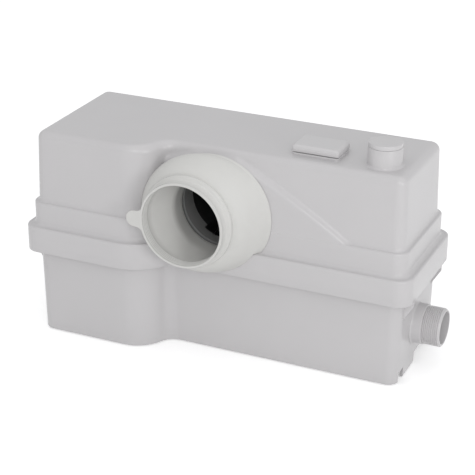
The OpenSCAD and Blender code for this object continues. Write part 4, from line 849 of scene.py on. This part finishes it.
class PUMP_OT_spigot(bpy.types.Operator):
    """Makes the side inlet: its seat for the flap, its root on the wall and the pipe thread"""
    bl_idname = "pump.spigot"
    bl_label = "Side inlet"

    def execute(self, context):
        s, f = setting("pump_casing"), setting("pump_fittings")
        seat_x, bore, r = s.width / 2 - s.wall - 7 * MM, 20 * MM, f.thread_radius
        body, root, wall = r + 0.7 * MM, 2.5 * MM, 10.0 * MM
        profile = placed((bore, 0), (0, 0.3), (0.3, 0)) + placed((body, 0), (-0.3, 0), (0, 0.3), (0, 10), (2.5, 10))
        profile += root_fillet(body, wall, root, (0.3, 0.6, 0.9, 1.2, 1.5708)) + [(body, 22.4 * MM)]
        profile += placed((r, 0), (0.3, 23), (-0.1, 23.2), (-1.25, 23.4), (-1.25, 44.2), (-2.0, 45.4), (-2.6, 45.5))
        profile += placed((bore, 0), (0.4, 45.5), (0, 45.1))
        neck = turned(profile, (seat_x, f.side_y, f.side_z), RIGHT)
        centre = Vector((seat_x + 24.1 * MM, f.side_y, f.side_z))
        piece(merged(neck, self.thread(centre, r, f.thread_pitch)), "side_inlet_spigot", "casing", "casing_white",
              ["side_spigot"])
        return {"FINISHED"}

    def thread(self, centre, radius, pitch):
        """The pipe thread: a ridge spun round the side inlet while it moves along it."""
        steps, turns = 60, 8.6
        bm = bmesh.new()
        ridge = placed((radius, 0), (-1.5, -1.05), (-0.1, -0.22), (-0.1, 0.22), (-1.5, 1.05))
        loop = [bm.verts.new(centre + Vector((along, 0, r))) for r, along in ridge]
        ends = bmesh.ops.contextual_create(bm, geom=ring_edges(bm, loop))["faces"]
        bmesh.ops.spin(bm, geom=ends, cent=centre, axis=RIGHT, dvec=(pitch / steps, 0, 0), angle=TAU * turns,
                       steps=round(steps * turns), use_merge=False, use_duplicate=False)
        bmesh.ops.recalc_face_normals(bm, faces=bm.faces)
        return bm


class PUMP_OT_sleeve(bpy.types.Operator):
    """Makes the rubber inlet sleeve: dome, neck, mouth, sealing ribs, bead and pull tab"""
    bl_idname = "pump.sleeve"
    bl_label = "Inlet sleeve"

    def execute(self, context):
        s, c = setting("pump_sleeve"), setting("pump_casing")
        rim_top, _, seat = levels()
        bore, out, reach, count = s.bore, s.bore + s.mouth_wall, s.reach, 144
        rows = [(d * MM, out + r * MM, t) for d, r, t in TUBE]
        rows += [(d * MM, r * MM, t) for d, r, t in [(0.1, 72.6, 0)] + BELLY + NECK]
        mouth = placed((reach - 3.6 * MM, out), (-3, -0.6), (-0.6, -0.5), (0, -0.2), (0.5, 0))
        mouth += placed((reach, out), (-0.9, 0), (-0.25, -0.3), (0, -0.9))
        mouth += placed((reach, bore), (0, 0.9), (-0.25, 0.3), (-0.9, 0))
        for k in range(4):
            at = reach - (4.0 + 2.8 * k) * MM
            mouth += [(at + d * MM, bore - share * s.rib)
                      for d, share in ((0.9, 0), (0.35, 0.85), (0, 1), (-0.35, 0.85), (-0.9, 0))]
        rows += [(d, r, 1) for d, r in mouth]
        start = reach - 18 * MM
        rows += [(start + (8 * MM - start) * i / 8, bore, 1 - i / 8) for i in range(9)]
        rows += placed((0, bore, 0), (2, 0, 0), (-8, 0, 0), (-13.2, -0.25, 0), (-13.9, -0.1, 0), (-14.2, 0.5, 0))
        sleeve = lofted([sleeve_ring(d, r, t, count) for d, r, t in rows], capped=False)
        keep_off = walled([(z, c.rim_out + 0.5 * MM, c.rim_corner) for z in (c.rim_z - MM, rim_top + 0.5 * MM)], 40)
        throat = rod((s.inlet_x, seat - 12 * MM, s.inlet_z), BACK, out + 0.05 * MM, 80 * MM, count)
        sleeve = carved(sleeve, [carved(keep_off, [throat])])
        mouth_x, front = s.inlet_x - s.shift, seat - reach
        inside = rod((mouth_x, front - MM, s.inlet_z), BACK, bore + 1.4 * MM, 8 * MM, count)
        tab = self.tab(mouth_x - bore - s.mouth_wall, front, s.inlet_z - MM, s.tab)
        sleeve = carved(sleeve, [carved(tab, [inside])], "UNION")
        piece(sleeve, "sleeve_boot", "casing", "sleeve_rubber", ["inlet_sleeve"], 38)
        return {"FINISHED"}

    def tab(self, edge, front, height, size):
        """The pull tab beside the mouth, with hollow corners where it leaves the rim."""
        tip, flare = 9.9 * MM, 9.5 * MM
        end, root, inner = edge - size + tip, edge - 6.0 * MM, edge + 7 * MM
        points = [(end + tip * math.cos(a), tip * math.sin(a)) for a in [QUARTER + math.pi * i / 20 for i in range(21)]]
        foot = [(root + flare * math.sin(a), tip + flare * (1 - math.cos(a))) for a in [1.35 * i / 8 for i in range(9)]]
        wide = foot[-1][1] + 2 * MM
        shape = points + [(x, -z) for x, z in foot] + [(inner, -wide), (inner, wide)] + foot[::-1]
        bm = slab([(x, height + z) for x, z in shape], front, front + 3.0 * MM)
        return softened(bm, 0.7 * MM, 3, 50)


def rounded_box(half_x, half_y, corner, steps=6):
    """Points round a rectangle with rounded corners."""
    points = []
    for sx, sy, a0 in ((1, -1, -90), (1, 1, 0), (-1, 1, 90), (-1, -1, 180)):
        for a in [math.radians(a0 + 90 * i / steps) for i in range(steps + 1)]:
            points.append((sx * (half_x - corner) + corner * math.cos(a),
                           sy * (half_y - corner) + corner * math.sin(a)))
    return points


class PUMP_OT_vent(bpy.types.Operator):
    """Makes the vent cap and the slotted grille below it"""
    bl_idname = "pump.vent"
    bl_label = "Vent"

    def execute(self, context):
        s, f = setting("pump_casing"), setting("pump_fittings")
        x, y, w, d = f.vent_x, f.vent_y, f.vent_width / 2, f.vent_depth / 2
        roof, base, top = s.height, s.height + 3.3 * MM, s.height + 11.8 * MM

        def boxes(*rows):
            """A bmesh through rounded rectangles, each given as height, inset and corner radius."""
            return lofted([[(x + a, y + b, z) for a, b in rounded_box(w - off, d - off, corner)]
                           for z, off, corner in rows])

        cap = boxes(*placed((base, 0, 0), (0, 0.5, 2.5), (0.15, 0.15, 2.9), (0.5, 0, 3)),
                    *placed((top, 0, 0), (-3.1, 0, 3), (-2.5, 0.2, 3), (-2.1, 0.5, 2.9), (-0.6, 2.0, 2.6),
                            (-0.25, 2.5, 2.5), (0, 3.3, 2.2)))
        inset_top(cap, 1.0 * MM)
        lip = (w - 4.5 * MM, d - 4.5 * MM)
        cap = carved(cap, [softened(upright(x, y, *lip, roof + 2.05 * MM, base + MM), 0.4 * MM)], "UNION")
        cap = carved(cap, [upright(x, y, *[half - 2 * MM for half in lip], roof, top - 2 * MM)])
        piece(cap, "vent_lid", "vent", "fitting_white", ["vent_cap"])
        hang = [half - 0.3 * MM for half in HATCH]
        plate = boxes(*placed((roof, 0, 0), (0, 0.8, 2.4), (1.5, 0.8, 2.4), (1.85, 0.95, 2.25), (2, 1.3, 1.9)))
        grille = carved(plate, [upright(x, y, *hang, roof - 20 * MM, roof + 0.5 * MM)], "UNION")
        cuts = [upright(x, y, *[half - 1.6 * MM for half in hang], roof - 18.5 * MM, roof)]
        cuts += [upright(x + i * 6.4 * MM, y, 1.4 * MM, 10 * MM, roof - 21 * MM, roof + 3 * MM) for i in range(-2, 3)]
        piece(carved(grille, cuts), "vent_slots", "casing", "fitting_white", ["vent_grille"])
        return {"FINISHED"}


class PUMP_OT_chute(bpy.types.Operator):
    """Makes the chute behind the sleeve: its collar in a lighter grey that is painted light, and the throat that drops
    to the grinder in black that is painted shade
    """
    bl_idname = "pump.chute"
    bl_label = "Inlet chute"

    def execute(self, context):
        v, (low, high) = setting("pump_sleeve"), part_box("inlet_chute")
        x, z, bore, flange = v.inlet_x, v.inlet_z, v.bore + 0.2 * MM, (high.x - low.x) / 2
        wall, depth = 3 * MM, 42 * MM
        drop = block((x - 31 * MM, -19 * MM, 70 * MM), (x + 31 * MM, high.y - 2 * wall, z))
        profile = placed((flange, 0), (-5, 0.3), (-4.7, 0), (-0.4, 0), (0, 0.4), (0, 2.6), (-0.4, 3), (-2, 3),
                         (-2, 19.5), (-2.4, 19.9))
        profile += [(bore + wall, 19.9 * MM), (bore + wall, depth)]
        profile += placed((bore, 0), (0.3, 42), (0, 41.7), (0, 17.7), (0.8, 16.9)) + [(flange - 5 * MM, 16.9 * MM)]
        collar = carved(turned(profile, (x, low.y, z), BACK, 120), [drop.copy()])
        collar = piece(collar, "chute_collar", "casing", "dark_plastic", ["inlet_chute"])
        # The lighter grey is painted light on the collar, which gets little light inside the sleeve.
        collar.data.materials[0] = FINISHES["collar_grey"]
        start = low.y + depth + 0.05 * MM
        shaft = block((x - 34 * MM, -22 * MM, 95 * MM), (x + 34 * MM, high.y - wall, z - bore + 14 * MM))
        throat = rod((x, start, z), BACK, bore + wall, high.y - start, 120)
        throat = carved(throat, [softened(shaft, 0.8 * MM)], "UNION")
        throat = carved(throat, [rod((x, low.y, z), BACK, bore + MM, high.y - low.y - wall, 120), drop,
                                 rod((low.x - MM, 18 * MM, 81 * MM), RIGHT, 48.4 * MM, high.x - low.x + 2 * MM, 120)])
        # Black rubber on the throat is painted shade: it stands in for the darkness deep in the chute's bend.
        piece(throat, "chute_throat", "casing", "black_rubber", ["inlet_chute"])
        return {"FINISHED"}


class PUMP_OT_plug(bpy.types.Operator):
    """Makes the plug of the outlet stub"""
    bl_idname = "pump.plug"
    bl_label = "Outlet plug"

    def execute(self, context):
        s, f = setting("pump_casing"), setting("pump_fittings")
        z = s.height + f.stub_height + 0.2 * MM
        body, head, middle = 16.0 * MM, f.stub_radius - 0.3 * MM, 0.01 * MM
        profile = placed((body, 0), (-4, -11), (-0.8, -11), (0, -10.2), (0, -8), (-1.6, -8), (-1.6, -5.6), (0, -5.6),
                         (0, 0))
        profile += placed((head, 0), (-0.4, 0), (-0.1, 0.1), (0, 0.35), (0, 3.9), (-0.1, 4.4), (-0.35, 4.8),
                          (-0.8, 5), (-5, 5))
        profile += placed((middle, 0), (0, 5), (0, 1.5)) + placed((body, 0), (-4.8, 1.5), (-4, 0.7))
        piece(turned(profile, (f.stub_x, f.stub_y, z), UP), "plug_cap", "plug", "fitting_white", ["outlet_plug"])
        return {"FINISHED"}


def stranded(path, across, lay, radius, count, twist, closed=False, sides=8):
    """Twisted strands round a flat path.

    They are given by their distance from the path, radius and number, and the turns in all.
    The direction across is square to the path's plane.
    """
    n, across = len(path), Vector(across)
    parts = []
    for k in range(count):
        rings = []
        for i, p in enumerate(path):
            nearby = (path[(i + 1) % n], path[i - 1]) if closed else (path[min(i + 1, n - 1)], path[max(i - 1, 0)])
            side = (Vector(nearby[0]) - Vector(nearby[1])).normalized().cross(across)
            a = TAU * (k / count + twist * i / n)
            centre = Vector(p) + (side * math.cos(a) + across * math.sin(a)) * lay
            rings.append([centre + (side * math.cos(b) + across * math.sin(b)) * radius
                          for b in [TAU * j / sides for j in range(sides)]])
        parts.append(lofted(rings, capped=not closed))
    return merged(*parts)


class PUMP_OT_windings(bpy.types.Operator):
    """Makes the stator's end windings, each a twisted bundle of wires"""
    bl_idname = "pump.windings"
    bl_label = "End windings"

    def execute(self, context):
        low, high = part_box("stator_windings")
        r, count = 4.5 * MM, 216
        y, z, lay = (low.y + high.y) / 2, (low.z + high.z) / 2, (high.z - low.z) / 2 - r
        rings = []
        for x in (low.x + r, high.x - r):
            path = [(x, y + lay * math.cos(TAU * i / count), z + lay * math.sin(TAU * i / count)) for i in range(count)]
            rings += [stranded(path, RIGHT, 3.05 * MM, 1.4 * MM, 7, 9, closed=True),
                      stranded(path, RIGHT, 0.0, 1.8 * MM, 1, 0, closed=True)]
        piece(merged(*rings), "winding_bundles", "casing", "copper", ["stator_windings"], 50)
        return {"FINISHED"}


class PUMP_OT_leads(bpy.types.Operator):
    """Makes the leads of the motor and the level switch, each of twisted cores"""
    bl_idname = "pump.leads"
    bl_label = "Leads"

    def execute(self, context):
        low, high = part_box("motor_lead")
        x, y, r = (low.x + high.x) / 2, (low.y + high.y) / 2, (high.x - low.x) / 2
        path = [(x, y, low.z + (high.z - low.z) * i / 8) for i in range(9)]
        cores = stranded(path, BACK, r * 0.52, r * 0.46, 3, 0.15)
        piece(cores, "motor_cores", "casing", "black_rubber", ["motor_lead"], 50)
        low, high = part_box("switch_lead")
        y, r, bend = (low.y + high.y) / 2, (high.y - low.y) / 2, 8 * MM
        right, left, top = high.x - r, low.x + r, high.z - r
        from_z, to_z = self.lowest("switch_lead", right), self.lowest("switch_lead", left)
        arc = [QUARTER * i / 10 for i in range(10)]
        legs = [(right, from_z + (top - bend - from_z) * i / 40) for i in range(40)]
        legs += [(right - bend + bend * math.cos(a), top - bend + bend * math.sin(a)) for a in arc]
        legs += [(right - bend + (left + 2 * bend - right) * i / 60, top) for i in range(60)]
        legs += [(left + bend - bend * math.sin(a), top - bend + bend * math.cos(a)) for a in arc]
        legs += [(left, top - bend + (to_z - top + bend) * i / 12) for i in range(13)]
        cores = stranded([(x, y, z) for x, z in legs], BACK, r * 0.49, r * 0.49, 2, 14)
        piece(cores, "switch_cores", "casing", "black_rubber", ["switch_lead"], 50)
        return {"FINISHED"}

    def lowest(self, node, x):
        """The lowest height of a CAD node near a place across the casing."""
        return min(v.co.z for v in NODES[node].data.vertices if abs(v.co.x - x) < 3 * MM)


class PUMP_OT_hose(bpy.types.Operator):
    """Makes the ribbed outlet hose between the volute and the valve"""
    bl_idname = "pump.hose"
    bl_label = "Outlet hose"

    def execute(self, context):
        low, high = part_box("outlet_hose")
        r, reach, cuff = (high.x - low.x) / 2, high.z - low.z, 11 * MM
        bore, ribbed = r - 2.95 * MM, reach - 2 * cuff
        count = max(2, round(ribbed / (3.2 * MM)))
        pitch = ribbed / count
        profile = [(bore, 0), (r - 0.4 * MM, 0), (r, 0.4 * MM), (r, cuff - 0.3 * MM)]
        for k in range(count):
            profile += [(r - deep * MM, cuff + pitch * k + pitch * share)
                        for deep, share in ((0.2, 0), (1.3, 0.22), (1.5, 0.5), (1.3, 0.78))]
        profile += placed((r, reach - cuff), (-0.2, 0), (0, 0.3))
        profile += placed((r, reach), (0, -0.4), (-0.4, 0)) + [(bore, reach)]
        hose = turned(profile, ((low.x + high.x) / 2, (low.y + high.y) / 2, low.z), UP, 72)
        piece(hose, "ribbed_hose", "casing", "black_rubber", ["outlet_hose"], 50)
        return {"FINISHED"}


class PUMP_OT_frame_finishes(bpy.types.Operator):
    """Gives each CAD node that stays the finish of its slot in the record"""
    bl_idname = "pump.frame_finishes"
    bl_label = "Frame finishes"

    def execute(self, context):
        slots = {p["node"]: p["material_slot"] for p in frame["record"]["subparts"]}
        for name, obj in NODES.items():
            obj.data.materials.clear()
            obj.data.materials.append(FINISHES[slots[name]])
        return {"FINISHED"}


# Each lamp: name, which is also its power's setting, place and diameter. All point at the middle of the object.

LAMPS = (("key", (1.965, -1.325, 0.505), 0.6), ("overhead", (0.1, -0.2, 2.4), 2.2),
         ("fill", (0.946, -1.939, 1.182), 1.0))
LAMP_TARGET = (0, 0, 0.13)


class PUMP_OT_stage(bpy.types.Operator):
    """Makes the camera, the floor, the even sky and the lamps"""
    bl_idname = "pump.stage"
    bl_label = "Stage"

    def execute(self, context):
        scene, s = context.scene, setting("pump_stage")
        scene.view_settings.view_transform = "Standard"
        data = bpy.data.cameras.new("camera")
        data.lens, data.sensor_width, data.clip_end = s.lens, 36.0, 50.0
        across = math.cos(s.elevation)
        back = Vector((math.sin(s.azimuth) * across, -math.cos(s.azimuth) * across, math.sin(s.elevation)))
        scene.camera = self.aimed("camera", data, Vector(s.target) + back * s.distance, back, s.roll)
        bm = bmesh.new()
        bmesh.ops.create_grid(bm, x_segments=2, y_segments=2, size=6.0)
        floor = as_object(bm, "floor", scene.collection)
        floor.data.materials.append(self.floor_finish())
        self.sky(scene, s.sky)
        for name, spot, size in LAMPS:
            lamp = bpy.data.lights.new(name, "AREA")
            lamp.shape, lamp.size, lamp.energy = "DISK", size, getattr(s, name)
            self.aimed(name, lamp, spot, Vector(spot) - Vector(LAMP_TARGET))
        return {"FINISHED"}

    def aimed(self, name, data, spot, back, roll=0.0):
        """A camera or a lamp at a spot, with its back in a direction."""
        obj = bpy.data.objects.new(name, data)
        bpy.context.scene.collection.objects.link(obj)
        turn = back.to_track_quat("Z", "Y").to_matrix().to_4x4()
        obj.matrix_world = Matrix.Translation(spot) @ turn @ Matrix.Rotation(roll, 4, "Z")
        return obj

    def floor_finish(self):
        """A white floor that still takes a soft shadow: some of its white is lit, the rest is its own."""
        f = Finish("floor_white")
        path = f.node("ShaderNodeLightPath")
        seen, glossy, through = (Value(f, path.outputs[f"Is {k} Ray"]) for k in ("Camera", "Glossy", "Transmission"))
        shown = (seen + glossy + through).over(0.5)
        f.set(Base_Color=(0.86, 0.86, 0.86), Roughness=0.9, Specular_IOR_Level=0.1,
              Emission_Color=f.mixed(shown, (0, 0, 0), (1, 1, 1)), Emission_Strength=0.42)
        return f.material

    def sky(self, scene, strength):
        """Even light from all round, white where the camera sees it."""
        world = bpy.data.worlds.new("sky")
        world.use_nodes = True
        scene.world = world
        nodes, links = world.node_tree.nodes, world.node_tree.links
        nodes.clear()
        output, mix, path = (nodes.new(f"ShaderNode{k}") for k in ("OutputWorld", "MixShader", "LightPath"))
        links.new(path.outputs["Is Camera Ray"], mix.inputs[0])
        for socket, colour, power in ((1, (0.985, 0.992, 1.0, 1), strength), (2, (1, 1, 1, 1), 1.0)):
            light = nodes.new("ShaderNodeBackground")
            light.inputs["Color"].default_value, light.inputs["Strength"].default_value = colour, power
            links.new(light.outputs[0], mix.inputs[socket])
        links.new(mix.outputs[0], output.inputs[0])


class PUMP_PT_panel(bpy.types.Panel):
    bl_idname = "PUMP_PT_panel"
    bl_label = "Macerator toilet pump"
    bl_space_type = "VIEW_3D"
    bl_region_type = "UI"
    bl_category = "Pump"

    def draw(self, context):
        for operator in OPERATORS:
            self.layout.operator(operator.bl_idname)
        for name, group in SETTINGS.items():
            column = self.layout.column(align=True)
            for key in group.__annotations__:
                column.prop(getattr(context.scene, name), key)


OPERATORS = (PUMP_OT_stage, PUMP_OT_frame_finishes, PUMP_OT_tank, PUMP_OT_spigot, PUMP_OT_cover,
             PUMP_OT_outlet_neck, PUMP_OT_sleeve, PUMP_OT_chute, PUMP_OT_vent, PUMP_OT_plug, PUMP_OT_windings,
             PUMP_OT_leads, PUMP_OT_hose)


def register():
    for group in SETTINGS.values():
        bpy.utils.register_class(group)
    for name, group in SETTINGS.items():
        setattr(bpy.types.Scene, name, bpy.props.PointerProperty(type=group))
    for item in (*OPERATORS, PUMP_PT_panel):
        bpy.utils.register_class(item)


def unregister():
    for item in (PUMP_PT_panel, *reversed(OPERATORS)):
        bpy.utils.unregister_class(item)
    for name, group in SETTINGS.items():
        delattr(bpy.types.Scene, name)
        bpy.utils.unregister_class(group)


def main():
    register()
    make_finishes()
    for operator in OPERATORS:
        space, name = operator.bl_idname.split(".")
        if getattr(getattr(bpy.ops, space), name)() != {"FINISHED"}:
            raise RuntimeError(f"{operator.bl_label} didn't finish")


if __name__ == "__main__":
    main()
